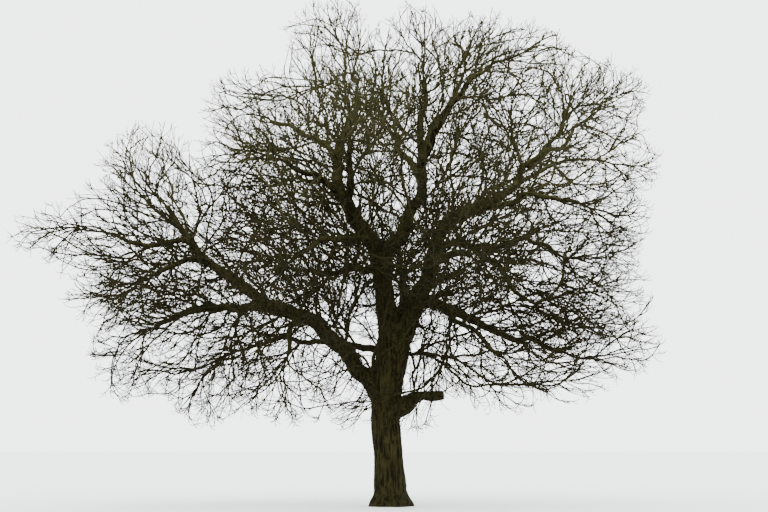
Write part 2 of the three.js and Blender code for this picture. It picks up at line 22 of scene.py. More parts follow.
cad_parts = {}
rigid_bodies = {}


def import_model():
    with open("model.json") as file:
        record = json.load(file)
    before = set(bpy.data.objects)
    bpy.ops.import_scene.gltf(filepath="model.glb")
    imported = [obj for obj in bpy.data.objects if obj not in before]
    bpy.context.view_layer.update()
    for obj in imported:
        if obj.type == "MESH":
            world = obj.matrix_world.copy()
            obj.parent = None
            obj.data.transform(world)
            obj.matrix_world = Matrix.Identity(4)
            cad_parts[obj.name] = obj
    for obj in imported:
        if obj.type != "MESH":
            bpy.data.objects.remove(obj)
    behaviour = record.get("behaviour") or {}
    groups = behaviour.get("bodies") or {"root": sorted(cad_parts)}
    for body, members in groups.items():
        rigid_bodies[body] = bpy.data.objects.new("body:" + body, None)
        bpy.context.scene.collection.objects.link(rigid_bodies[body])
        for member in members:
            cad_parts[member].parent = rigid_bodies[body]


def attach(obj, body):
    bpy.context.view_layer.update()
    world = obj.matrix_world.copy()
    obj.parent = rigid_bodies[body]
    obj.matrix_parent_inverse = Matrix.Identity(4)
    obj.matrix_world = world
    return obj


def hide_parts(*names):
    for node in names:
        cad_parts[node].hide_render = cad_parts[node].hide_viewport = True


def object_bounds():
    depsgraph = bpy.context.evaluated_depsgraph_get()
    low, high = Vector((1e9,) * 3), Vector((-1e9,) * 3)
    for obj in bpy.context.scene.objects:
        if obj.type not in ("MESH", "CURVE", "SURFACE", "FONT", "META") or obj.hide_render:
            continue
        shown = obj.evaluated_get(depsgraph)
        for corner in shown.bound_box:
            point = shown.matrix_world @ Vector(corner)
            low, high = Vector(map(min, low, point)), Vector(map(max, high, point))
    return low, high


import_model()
CAD_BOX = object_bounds()

log = logging.getLogger("oak")

Array = np.ndarray
Triple = tuple[float, float, float]
Swelling = Callable[[Array, Array, Array], Array]

# Sizes that the solids have too, in metres.
GAP = 0.0003
WAIST_RADIUS = 0.42
FORK_RADIUS = 0.48
FOOT_RADIUS = 0.6
FLARE_HEIGHT = 0.34
BUTTRESS_DEPTH = 0.13
BUTTRESS_COUNT = 5
BUTTRESS_SKEW = 0.7
TRUNK_RINGS = 16
GROUND_CROWDING = 1.35
CROWN_CENTRE = np.array((-0.6, 0.0, 8.0))

# How the first twigs of a mass grow from its stem, as in the solids.
GOALS_PER_MASS = 22
GOAL_TRIES = 8
STRIDE = 0.56
ARRIVE = 0.6
STEADINESS = 0.6
BACKWARD_COST = 1.7
PARALLEL = 0.94
LEAST_AHEAD = 0.4
ONWARD = 0.15
FAN = 0.3
ROUNDS = 16
SPACE_MARGIN = 0.07
LIMB_CLEARANCE = 0.09
PROBE = 0.12

# Bends of the limbs and twigs off their smooth courses: the size of a bend and how far it goes.
WOBBLES = ((0.6, 0.09), (0.24, 0.028))
WOBBLE_SEED = 90

# The sawn stub, which is straighter than the other limbs.
STUB = "stub_right"
STUB_WOBBLE = 0.3
STUB_SPACING = 0.03

# Relief of the bark: how long its ridges are drawn out, and its fissures and cross cracks.
RIDGE_STRETCH = 0.2
BEND_GRAIN = 0.45
BEND_WAYS = np.array((0.8, 0.8, 0.0))
FISSURE_WIDTH = 0.2
CRACK_WIDTH = 0.12
CRACK_DEPTH = 0.35
CRACK_GRAIN = np.array((1.1, 1.1, 3.4))
WELD = 1e-5

UP = np.array((0.0, 0.0, 1.0))


@dataclass(frozen=True)
class TrunkPlace:
    """A place on the trunk's centre line, with the trunk's radius there."""

    at: Triple
    radius: float


@dataclass(frozen=True)
class LimbSize:
    """A limb: its name, base and tip radius, the places it goes through, and what it goes on from."""

    name: str
    radii: tuple[float, float]
    line: tuple[Triple, ...]
    after: str | None = None
    forked: bool = False


@dataclass(frozen=True)
class StemRoot:
    """Where a mass that hangs from the trunk itself has its stem."""

    at: Triple
    heading: Triple
    radius: float


@dataclass(frozen=True)
class MassSize:
    """A twig mass: what bears it, and the middle and half sizes of its space."""

    on: str
    centre: Triple
    half: Triple
    root: StemRoot | None = None

    @property
    def node(self) -> str:
        """The name of its node, which follows from what bears it."""
        kind, _, rest = self.on.partition("_")
        return f"twigs_{rest}_leader" if kind == "leader" else f"twigs_{rest or 'trunk_right'}"


@dataclass(frozen=True)
class DenseSpace:
    """A rounded space where the crown is denser than its boughs alone would make it."""

    centre: Triple
    half: Triple
    branch_goals_per_m3: float
    twig_goals_per_m3: float


@dataclass(frozen=True)
class ThinSpace:
    """A rounded space where only some of the twigs' goals are kept, for the gaps of sky in the crown."""

    centre: Triple
    half: Triple
    kept: float


@dataclass(frozen=True)
class Thicket:
    """A crowd of sprouts on one limb: how closely they start, where they head and where they go."""

    on: str
    first_share: float
    spacing: float
    heading: Triple
    centre: Triple
    half: Triple
    goals_per_m3: float


TRUNK_LINE = (
    TrunkPlace((0, 0, 0), FOOT_RADIUS),
    TrunkPlace((-0.01, 0, 0.45), WAIST_RADIUS + 0.04),
    TrunkPlace((-0.05, 0, 1.5), WAIST_RADIUS),
    TrunkPlace((-0.11, 0, 2.5), WAIST_RADIUS),
    TrunkPlace((-0.08, 0, 3.3), WAIST_RADIUS + 0.02),
    TrunkPlace((0.04, 0, 4.1), FORK_RADIUS - 0.01),
    TrunkPlace((0.14, 0, 4.75), FORK_RADIUS),
    TrunkPlace((0.19, 0, 5.2), FORK_RADIUS - 0.14),
)

LIMBS = (
    LimbSize("stub_right", (0.27, 0.12), ((0.05, -0.05, 2.74), (0.3, -0.18, 2.78), (0.48, -0.28, 2.88),
        (0.62, -0.35, 3), (0.8, -0.41, 3.07), (1.5, -0.58, 3.1))),
    LimbSize("bough_left", (0.27, 0.18), ((-0.1, 0, 2.95), (-0.5, -0.1, 3.42), (-0.93, -0.3, 3.84),
        (-1.58, -0.6, 4.64), (-2, -0.8, 5.07), (-2.69, -1, 5.36), (-3.49, -1.1, 5.6))),
    LimbSize("bough_left_arm", (0.175, 0.07), ((-3.49, -1.1, 5.6), (-4.03, -1.1, 5.97),
        (-4.6, -0.98, 6.43), (-5.12, -0.8, 6.8), (-5.6, -0.63, 7.42), (-6.05, -0.4, 8.01),
        (-6.46, -0.2, 8.48)), after="bough_left"),
    LimbSize("bough_left_reach", (0.09, 0.05), ((-5.65, -0.62, 7.5), (-6.06, -0.8, 7.43),
        (-6.6, -1.2, 7.26), (-7.33, -1.6, 7.26), (-7.7, -1.7, 7.41))),
    LimbSize("bough_left_low", (0.14, 0.065), ((-3.35, -1.08, 5.56), (-3.93, -0.9, 5.54),
        (-4.6, -0.4, 5.57), (-5.34, 0, 5.66), (-6.02, 0.4, 5.41), (-6.81, 0.8, 5.15))),
    LimbSize("bough_left_front", (0.09, 0.05), ((-5.12, -0.8, 6.82), (-5.5, -1.8, 6.7),
        (-5.91, -2.8, 6.35), (-6.3, -3.5, 6.06))),
    LimbSize("bough_under_left", (0.11, 0.05), ((-0.1, 0.15, 4.4), (-0.81, 0.9, 4.52), (-1.29, 1.3, 4.66),
        (-1.96, 1.7, 4.78), (-2.54, 2, 4.72), (-3.38, 2.3, 4.92), (-3.97, 2.5, 4.69), (-4.46, 2.6, 4.56))),
    LimbSize("bough_under_front", (0.1, 0.05), ((-2.52, -0.95, 5.28), (-2.58, -1.8, 5.04),
        (-2.69, -2.6, 4.62), (-2.73, -3.1, 4.2))),
    LimbSize("leader_left", (0.32, 0.08), ((0, 0, 4.75), (-0.11, 0, 5.69), (-0.16, -0.1, 6.4),
        (-0.24, -0.22, 7), (-0.62, -0.5, 7.68), (-1.11, -0.7, 8.28), (-1.38, -0.8, 8.85),
        (-1.5, -0.76, 9.7), (-1.27, -0.5, 10.48), (-1.04, -0.3, 11.17), (-0.99, -0.2, 11.76)), forked=True),
    LimbSize("leader_right", (0.29, 0.06), ((0.3, 0, 4.7), (0.69, -0.1, 5.59), (0.99, -0.2, 6.2),
        (1.17, -0.36, 6.95), (1.38, -0.53, 7.52), (1.93, -0.9, 8.14), (2.65, -1.1, 8.33),
        (3.12, -1.2, 8.62), (3.52, -1.2, 9.02), (3.9, -1.15, 9.62), (4.38, -1.25, 10.1)), forked=True),
    LimbSize("leader_second", (0.24, 0.07), ((-0.19, -0.2, 6.75), (0.06, 0.1, 7.42), (0.41, 0.3, 7.86),
        (0.64, 0.5, 8.42), (0.89, 0.7, 9.1), (0.94, 0.9, 10.18), (0.91, 1, 10.96), (1.03, 1, 11.98),
        (1.06, 0.9, 12.6))),
    LimbSize("bough_top_right", (0.11, 0.06), ((0.93, 0.9, 10.2), (1.21, 1.2, 11.04), (1.56, 1.4, 11.58),
        (1.9, 1.5, 12.2), (2.12, 1.58, 12.65))),
    LimbSize("bough_high_right", (0.11, 0.055), ((0.93, 0.85, 9.95), (1.38, 0, 10.77),
        (1.78, -0.8, 11.41), (2.2, -1.5, 11.75), (2.66, -2.1, 11.98))),
    LimbSize("bough_right_up", (0.075, 0.045), ((3.52, -1.2, 9.02), (3.99, -0.8, 9.3), (4.44, -0.4, 9.56),
        (5.01, 0.2, 9.92), (5.8, 0.6, 10.07))),
    LimbSize("bough_right_top", (0.07, 0.045), ((3.88, -1.13, 9.55), (4.62, -0.5, 10.06),
        (5.2, 0.05, 10.45), (5.54, 0.5, 11), (5.95, 1, 11.5))),
    LimbSize("bough_right_front", (0.1, 0.05), ((2.65, -1.1, 8.33), (3.29, -1.8, 8.35), (3.7, -2.4, 8.46),
        (4.37, -3, 8.35), (4.98, -3.4, 8.04))),
    LimbSize("bough_right_back", (0.13, 0.055), ((1.16, -0.33, 6.95), (1.45, 0, 7.34), (2.16, 0.8, 7.61),
        (2.82, 1.4, 7.57), (3.56, 2, 7.69), (4.09, 2.4, 8.03), (4.59, 2.8, 7.81), (5.19, 3.2, 7.64))),
    LimbSize("bough_right_low", (0.1, 0.055), ((2.16, 0.8, 7.61), (2.46, 0.55, 7.4), (2.79, 0.2, 7.1),
        (3.15, -0.3, 6.61), (3.4, -0.8, 6.12), (3.78, -1.2, 5.7))),
    LimbSize("bough_right_reach", (0.17, 0.065), ((0.8, -0.12, 5.9), (1.45, 0.2, 5.71), (1.97, 0.3, 5.49),
        (2.52, 0.4, 5.24), (3.22, 0.5, 4.98), (4.13, 0.6, 4.7), (5, 0.6, 4.43))),
    LimbSize("bough_right_hang", (0.09, 0.045), ((1.56, 0.22, 5.67), (1.86, -0.6, 5.26),
        (2.22, -1.2, 4.93), (2.72, -1.9, 4.4), (2.98, -2.2, 4.02))),
    LimbSize("bough_upper_left", (0.1, 0.05), ((-1.5, -0.72, 9.83), (-1.88, -0.2, 10.28),
        (-2.29, 0.3, 10.68), (-3.14, 1.4, 11.3), (-3.6, 1.9, 11.6))),
    LimbSize("bough_left_shoulder", (0.11, 0.055), ((-1.25, -0.75, 8.56), (-1.71, -1.4, 8.99),
        (-2.16, -2, 9.1), (-2.57, -2.6, 9.2), (-2.88, -3, 9.25))),
    LimbSize("bough_inner_back", (0.11, 0.055), ((-0.19, -0.12, 6.62), (-1.06, 1, 6.89), (-1.71, 2, 6.85),
        (-2.45, 2.8, 7.03), (-3.11, 3.4, 7.2))),
    LimbSize("bough_inner_front", (0.12, 0.06), ((-0.5, -0.42, 7.5), (-1.17, -1.6, 7.4),
        (-1.76, -2.8, 7.16), (-2.23, -3.8, 6.75))),
    LimbSize("bough_front_high", (0.12, 0.07), ((-1.1, -0.7, 8.27), (-1.06, -1.6, 8.75),
        (-1.1, -2.4, 9.16), (-1.08, -3.2, 9.5))),
    LimbSize("bough_front_right", (0.13, 0.065), ((1.18, -0.37, 7), (1.37, -1.8, 6.89),
        (1.64, -3.2, 6.73), (1.89, -4.4, 6.56))),
    LimbSize("bough_back_high", (0.12, 0.065), ((0.92, 0.8, 9.6), (0.6, 2, 10.4), (0.3, 3, 11),
        (0.1, 3.9, 11.5))),
    LimbSize("bough_back", (0.18, 0.09), ((0.23, 0.05, 5), (0.4, 1.3, 5.9), (0.45, 2.9, 6.6),
        (0.35, 4.4, 7.2))),
    LimbSize("bough_back_right", (0.13, 0.065), ((1.35, -0.5, 7.45), (1.85, 1, 8.2), (2.47, 2.4, 9),
        (3.15, 3.5, 9.6))),
)

MASSES = (
    MassSize("bough_left_arm", (-7, 0.2, 9.65), (1.45, 1.7, 1.35)),
    MassSize("bough_left_reach", (-8.9, -1.8, 7.4), (1.5, 1.5, 0.85)),
    MassSize("bough_left_low", (-7.4, 1, 4.35), (1.4, 1.7, 1.5)),
    MassSize("bough_left_front", (-6.95, -4.2, 5.6), (1.3, 1.6, 1.15)),
    MassSize("bough_under_left", (-5.4, 2.9, 3.5), (1.6, 1.6, 1.2)),
    MassSize("bough_under_front", (-2.6, -3.8, 3.2), (1.4, 1.5, 1)),
    MassSize("leader_left", (-1.7, -0.2, 13.2), (1.4, 1.6, 1.5)),
    MassSize("leader_second", (0.8, 0.8, 13.6), (1.3, 1.5, 1.15)),
    MassSize("bough_top_right", (2.6, 1.8, 13.6), (1.35, 1.6, 1.15)),
    MassSize("bough_high_right", (3.7, -3, 11.9), (1.35, 1.6, 1.1)),
    MassSize("leader_right", (5, -0.8, 11.6), (1.3, 1.5, 1.45)),
    MassSize("bough_right_top", (6.65, 1.7, 12.1), (1.25, 1.5, 1.25)),
    MassSize("bough_right_up", (6.75, 0.9, 10), (1.25, 1.5, 1.2)),
    MassSize("bough_right_front", (5.45, -4, 7.5), (1.3, 1.6, 1.2)),
    MassSize("bough_right_back", (6.5, 3.9, 7.6), (1.6, 1.7, 1.4)),
    MassSize("bough_right_low", (5.5, -1.9, 5.6), (1.6, 1.6, 1.15)),
    MassSize("bough_right_reach", (6.45, 0.7, 4.6), (1.6, 1.5, 1.05)),
    MassSize("bough_right_hang", (3.7, -2.8, 3.85), (1.4, 1.4, 0.85)),
    MassSize("bough_upper_left", (-4.4, 2.6, 12), (1.45, 1.7, 1.3)),
    MassSize("bough_left_shoulder", (-3.85, -4.1, 8.9), (1.35, 1.6, 1.35)),
    MassSize("bough_inner_back", (-4.5, 4.6, 8.2), (1.7, 1.8, 1.6)),
    MassSize("bough_inner_front", (-3, -5.4, 6.3), (1.5, 1.7, 1.35)),
    MassSize("bough_front_high", (-1, -4.7, 10.4), (1.7, 1.8, 1.45)),
    MassSize("bough_front_right", (2.4, -5.8, 6.7), (1.6, 1.7, 1.4)),
    MassSize("bough_back_high", (-0.3, 5.2, 12.4), (1.8, 1.9, 1.55)),
    MassSize("bough_back", (0.2, 6.4, 7.9), (1.9, 1.9, 1.8)),
    MassSize("bough_back_right", (4.4, 5, 10.6), (1.8, 1.8, 1.6)),
    MassSize("trunk", (1.8, 1.3, 4), (1.15, 1.15, 1),
        root=StemRoot((0.42, 0.2, 4.28), (0.86, 0.5, 0.12), 0.045)),
)

# The stub's radius along its run: a heavy knee, a waist, and a slightly swollen end.
STUB_PROFILE = ((0.0, 0.27), (0.28, 0.26), (0.36, 0.235), (0.44, 0.17), (0.52, 0.135), (0.62, 0.13),
    (0.8, 0.148), (0.93, 0.142), (1.0, 0.125))

DENSE_SPACES = (
    DenseSpace((-2.7, 0.2, 9.0), (2.4, 4.2, 1.4), 5.5, 37.0),
    DenseSpace((-1.9, 0.2, 7.7), (1.9, 4.2, 1.6), 4.6, 25.0),
    DenseSpace((-1.9, 0.0, 5.9), (1.2, 3.2, 0.9), 5.0, 52.0),
    DenseSpace((-6.1, -0.3, 6.1), (2.3, 3.2, 1.4), 5.5, 50.0),
    DenseSpace((-6.6, 0.2, 8.9), (1.8, 2.2, 1.3), 6.0, 46.0),
    DenseSpace((-4.9, 0.3, 4.0), (1.0, 2.8, 0.7), 6.0, 52.0),
    DenseSpace((0.2, 0.3, 7.6), (2.4, 4.2, 2.4), 3.3, 26.0),
    DenseSpace((2.7, 0.6, 10.9), (1.5, 4.0, 1.3), 5.5, 44.0),
    DenseSpace((2.1, 0.0, 6.0), (1.3, 3.4, 0.8), 8.0, 70.0),
    DenseSpace((4.7, 0.2, 5.2), (1.6, 3.2, 1.0), 9.0, 98.0),
)

THIN_SPACES = (
    ThinSpace((4.4, 0.0, 9.1), (2.3, 4.0, 1.2), 0.5),
    ThinSpace((-2.3, -1.0, 4.0), (0.9, 5.0, 0.9), 0.3),
)

THICKETS = (
    Thicket("stub_right", 0.16, 0.08, (0.0, 0.0, 1.0), (0.95, -0.35, 3.9), (0.75, 0.6, 0.85), 170.0),
    Thicket("stub_right", 0.86, 0.05, (0.35, -0.3, 0.9), (1.8, -0.6, 3.2), (0.35, 0.3, 0.35), 90.0),
    Thicket("bough_left", 0.1, 0.2, (-0.5, 0.0, -0.8), (-1.15, -0.15, 2.75), (0.6, 0.5, 0.75), 50.0),
)


def unit(vectors: Array) -> Array:
    """Vectors of length one, along the last axis."""
    length = np.linalg.norm(vectors, axis=-1, keepdims=True)
    return vectors / np.maximum(length, 1e-12)


def smooth_step(part: Array | float) -> Array | float:
    """A share from 0 to 1 that starts and ends without a jerk."""
    return part**3 * (part * (part * 6 - 15) + 10)


def row_dots(some: Array, others: Array) -> Array:
    """The dot product of each row with the row beside it."""
    return np.einsum("ij,ij->i", some, others)


def even_noise(points: Array, seed: int = 0) -> Array:
    """Smooth noise from -1 to 1.

    Args:
        points: Places, n by 3, in cells of the noise.
        seed: Picks one of many patterns.

    Returns:
        One value for each place.
    """
    cell = np.floor(points).astype(np.int64)
    part = points - cell
    fade = smooth_step(part)
    total = np.zeros(len(points))
    for corner in range(8):
        step = np.array((corner & 1, corner >> 1 & 1, corner >> 2 & 1))
        place = cell + step
        mixed = place[:, 0] * 73856093 ^ place[:, 1] * 19349663 ^ place[:, 2] * 83492791 ^ seed * 2654435761
        mixed = (mixed ^ mixed >> 13) * 1274126177 & 0x7FFFFFFF
        value = (mixed >> 7 & 0xFFFF) / 32767.5 - 1
        total += value * np.prod(np.where(step == 1, fade, 1 - fade), axis=1)
    return total


def wobble(places: Array) -> Array:
    """How far the bends and kinks of living wood move each place off its smooth course.

    Args:
        places: The places, n by 3.

    Returns:
        The moves, in metres.
    """
    moves = np.zeros((len(places), 3))
    for cell, reach in WOBBLES:
        for axis in range(3):
            moves[:, axis] += even_noise(places / cell, WOBBLE_SEED + axis) * reach
    return moves


def within(value: float, limits: tuple[float, float]) -> float:
    """A value kept between its limits."""
    return min(max(value, limits[0]), limits[1])


def limb_named(name: str) -> LimbSize:
    """The limb that has a name."""
    return next(limb for limb in LIMBS if limb.name == name)


def move_to(verts: object, places: Array) -> None:
    """Moves each vertex of a bmesh to its place."""
    for vert, place in zip(verts, places):
        vert.co = place


def piece_of(mesh: Mesh, finishes: list[Material]) -> Object:
    """Puts a finished mesh into the scene, smooth and with its materials.

    Args:
        mesh: The mesh, whose name the piece takes.
        finishes: The materials.

    Returns:
        The new object.
    """
    mesh.shade_smooth()
    for finish in finishes:
        mesh.materials.append(finish)
    piece = bpy.data.objects.new(mesh.name, mesh)
    bpy.context.scene.collection.objects.link(piece)
    return piece


class SeededNumbers:
    """Even random numbers from 0 to 1 that are the same on every run, as the solids use them."""

    MODULUS = 2147483647
    MULTIPLIER = 16807
    SEED_STEP = 7919
    SEED_START = 12345

    def __init__(self, seed: int) -> None:
        """Starts the row of numbers that belongs to a seed."""
        self.state = (seed * self.SEED_STEP + self.SEED_START) % self.MODULUS

    def next(self) -> float:
        """The next number of the row."""
        self.state = self.state * self.MULTIPLIER % self.MODULUS
        return self.state / self.MODULUS


class SmoothLine:
    """A smooth line through a few places."""

    TANGENT_STEP = 0.0001

    def __init__(self, places: tuple[Triple, ...]) -> None:
        """Keeps the places, with one more beyond each end.

        Args:
            places: What the line goes through.
        """
        inner = np.array(places, float)
        self.spans = len(inner) - 1
        first = 2 * inner[0] - inner[1]
        last = 2 * inner[-1] - inner[-2]
        self.places = np.vstack((first, inner, last))

    def at(self, share: float) -> Array:
        """The place at a share of the way along.

        Args:
            share: From 0 to 1.

        Returns:
            The place.
        """
        span = self.spans * share
        index = min(int(span), self.spans - 1)
        weight = span - index
        p0, p1, p2, p3 = self.places[index : index + 4]
        dt0 = np.dot(p1 - p0, p1 - p0) ** 0.25
        dt1 = np.dot(p2 - p1, p2 - p1) ** 0.25
        dt2 = np.dot(p3 - p2, p3 - p2) ** 0.25
        t1 = ((p1 - p0) / dt0 - (p2 - p0) / (dt0 + dt1) + (p2 - p1) / dt1) * dt1
        t2 = ((p2 - p1) / dt1 - (p3 - p1) / (dt1 + dt2) + (p3 - p2) / dt2) * dt1
        bend = -3 * p1 + 3 * p2 - 2 * t1 - t2
        turn = 2 * p1 - 2 * p2 + t1 + t2
        return p1 + t1 * weight + bend * weight**2 + turn * weight**3

    def heading(self, share: float) -> Array:
        """The direction of the line at a share of the way along."""
        before, beyond = max(share - self.TANGENT_STEP, 0), min(share + self.TANGENT_STEP, 1)
        return unit(self.at(beyond) - self.at(before))


@dataclass
class Course:
    """Rings along a limb: centres, headings, radii, crosswise directions and run so far."""

    UPRIGHT: ClassVar[float] = 0.01

    at: Array
    towards: Array
    radius: Array
    across: Array = field(init=False)
    other: Array = field(init=False)
    run: Array = field(init=False)

    def __post_init__(self) -> None:
        """Works out crosswise directions that turn as little as possible, and the run."""
        start = np.cross(UP, self.towards[0])
        if np.dot(start, start) < self.UPRIGHT:
            start = np.cross((0.0, 1.0, 0.0), self.towards[0])
        rows = []
        for heading in self.towards:
            start = unit(start - heading * np.dot(start, heading))
            rows.append(start)
        self.across = np.array(rows)
        self.other = np.cross(self.towards, self.across)
        steps = np.linalg.norm(np.diff(self.at, axis=0), axis=1)
        self.run = np.concatenate(((0.0,), np.cumsum(steps)))

    def part(self, first: int, last: int) -> "Course":
        """The rings from one to another.

        Args:
            first: The first ring's number.
            last: The number after the last ring's.

        Returns:
            The rings, with the run of the whole course.
        """
        piece = slice(first, last)
        cut = Course(self.at[piece], self.towards[piece], self.radius[piece])
        cut.across = self.across[piece]
        cut.other = self.other[piece]
        cut.run = self.run[piece]
        return cut


def course_of(limb: LimbSize, count: int) -> Course:
    """A limb's rings.

    Args:
        limb: The limb.
        count: Steps from its base to its tip.

    Returns:
        The rings, one more than the steps.
    """
    line = SmoothLine(limb.line)
    shares = [i / count for i in range(count + 1)]
    base, tip = limb.radii
    radius = np.array([base + (tip - base) * share for share in shares])
    at = np.array([line.at(share) for share in shares])
    towards = np.array([line.heading(share) for share in shares])
    return Course(at, towards, radius)


def solid_course(limb: LimbSize) -> Course:
    """The rings that the limb's solid has."""
    return course_of(limb, max(4, len(limb.line)))


def fine_course(limb: LimbSize, spacing: float) -> Course:
    """Closely spaced rings for the limb's bark.

    Args:
        limb: The limb.
        spacing: The length between rings.

    Returns:
        The rings, with the bends that the solids leave out.
    """
    rough = solid_course(limb)
    smooth = course_of(limb, max(8, round(rough.run[-1] / spacing)))
    bends = wobble(smooth.at)
    if limb.name == STUB:
        shares, radii = zip(*STUB_PROFILE)
        smooth.radius = np.interp(smooth.run / smooth.run[-1], shares, radii)
        bends *= STUB_WOBBLE
    at = smooth.at + bends
    return Course(at, unit(np.gradient(at, axis=0)), smooth.radius)


def trunk_course(count: int, below: float = 0.0) -> Course:
    """The trunk's rings, which lie closer together near the ground.

    Args:
        count: Steps from the ground to the fork.
        below: How far the first ring is pushed below the ground, to be cut off later.

    Returns:
        The rings, with plain radii: the root buttresses are added by buttress().
    """
    line = SmoothLine(tuple(place.at for place in TRUNK_LINE))
    last = len(TRUNK_LINE) - 1
    at, towards, radius = [], [], []
    for i in range(count + 1):
        along = (i / count) ** GROUND_CROWDING
        span = along * last
        under = min(int(span), last - 1)
        blend = smooth_step(min(max(span - under, 0), 1))
        low, high = TRUNK_LINE[under].radius, TRUNK_LINE[under + 1].radius
        radius.append(low + (high - low) * blend)
        at.append(line.at(along))
        towards.append(line.heading(along))
    towards[0] = UP.copy()
    at[0] = at[0] - UP * below
    return Course(np.array(at), np.array(towards), np.array(radius))


def buttress(height: Array, angle: Array) -> Array:
    """How far the root buttresses stand out of the plain trunk, by height and by the angle round it."""
    lobe = 0.5 + 0.5 * np.cos(BUTTRESS_COUNT * angle + BUTTRESS_SKEW * np.sin(2 * angle))
    return BUTTRESS_DEPTH * np.exp(-np.maximum(height, 0) / FLARE_HEIGHT) * lobe**2


class CrownSpace:
    """The spaces of the masses and the limbs between them, for many places at once."""

    CHUNK = 4000
    ROOT_REACH = 0.45

    def __init__(self) -> None:
        """Collects the spaces and the straight stretches of every limb."""
        self.centres = np.array([mass.centre for mass in MASSES], float)
        self.halves = np.array([mass.half for mass in MASSES], float)
        starts, ends, radii, owners = [], [], [], []
        courses = [("trunk", trunk_course(TRUNK_RINGS))]
        courses += [(limb.name, solid_course(limb)) for limb in LIMBS]
        for owner, course in courses:
            starts.append(course.at[:-1])
            ends.append(course.at[1:])
            radii.append(course.radius[:-1])
            owners += [owner] * (len(course.at) - 1)
        self.starts = np.vstack(starts)
        self.ways = np.vstack(ends) - self.starts
        self.squared = row_dots(self.ways, self.ways)
        self.radii = np.concatenate(radii)
        self.owners = np.array(owners)

    def shares(self, places: Array) -> Array:
        """How far out in each mass's space each place lies: 0 in the middle, 1 on the skin."""
        offset = (places[:, None, :] - self.centres) / self.halves
        return np.linalg.norm(offset, axis=2)

    def distances(self, places: Array) -> Array:
        """The distance from each place to each stretch's centre line.

        Args:
            places: The places, n by 3.

        Returns:
            A row of distances for each place.
        """
        rows = []
        for first in range(0, len(places), self.CHUNK):
            offset = places[first : first + self.CHUNK, None, :] - self.starts
            along = np.clip(np.einsum("nij,ij->ni", offset, self.ways) / self.squared, 0, 1)
            rows.append(np.linalg.norm(offset - along[:, :, None] * self.ways, axis=2))
        return np.vstack(rows)

    def nearest_limb(self, place: Array) -> tuple[float, Array]:
        """The limb that is nearest to one place.

        Args:
            place: The place.

        Returns:
            The distance to the limb's surface, and the way straight off the limb.
        """
        offset = place - self.starts
        along = np.clip(row_dots(offset, self.ways) / self.squared, 0, 1)
        away = offset - along[:, None] * self.ways
        gaps = np.sqrt(row_dots(away, away)) - self.radii
        nearest = int(gaps.argmin())
        return float(gaps[nearest]), unit(away[nearest])

    def clearance(self, places: Array) -> Array:
        """The distance from each place to the nearest limb's surface."""
        return (self.distances(places) - self.radii).min(axis=1)

    def is_free(self, index: int, places: Array, root: Array, outermost: float = 1) -> Array:
        """Whether each place is in a mass's own space and clear of every limb.

        Args:
            index: The mass.
            places: The places.
            root: The mass's root, near which its own bearer may be close.
            outermost: The largest share that counts as inside.

        Returns:
            One truth value for each place.
        """
        shares = self.shares(places)
        own = shares[:, index]
        others = np.delete(shares, index, axis=1)
        inside = (own <= outermost) & (others > own[:, None] + SPACE_MARGIN).all(axis=1)
        near_root = np.linalg.norm(places - root, axis=1) < self.ROOT_REACH
        let_through = near_root[:, None] & (self.owners == MASSES[index].on)
        clear = self.distances(places) > self.radii + LIMB_CLEARANCE
        return inside & (clear | let_through).all(axis=1)


@dataclass
class Joint:
    """One joint of a mass's first twigs, with its parent's number and the ways that it has grown."""

    at: Array
    towards: Array
    parent: int
    ways: list[Array] = field(default_factory=list)


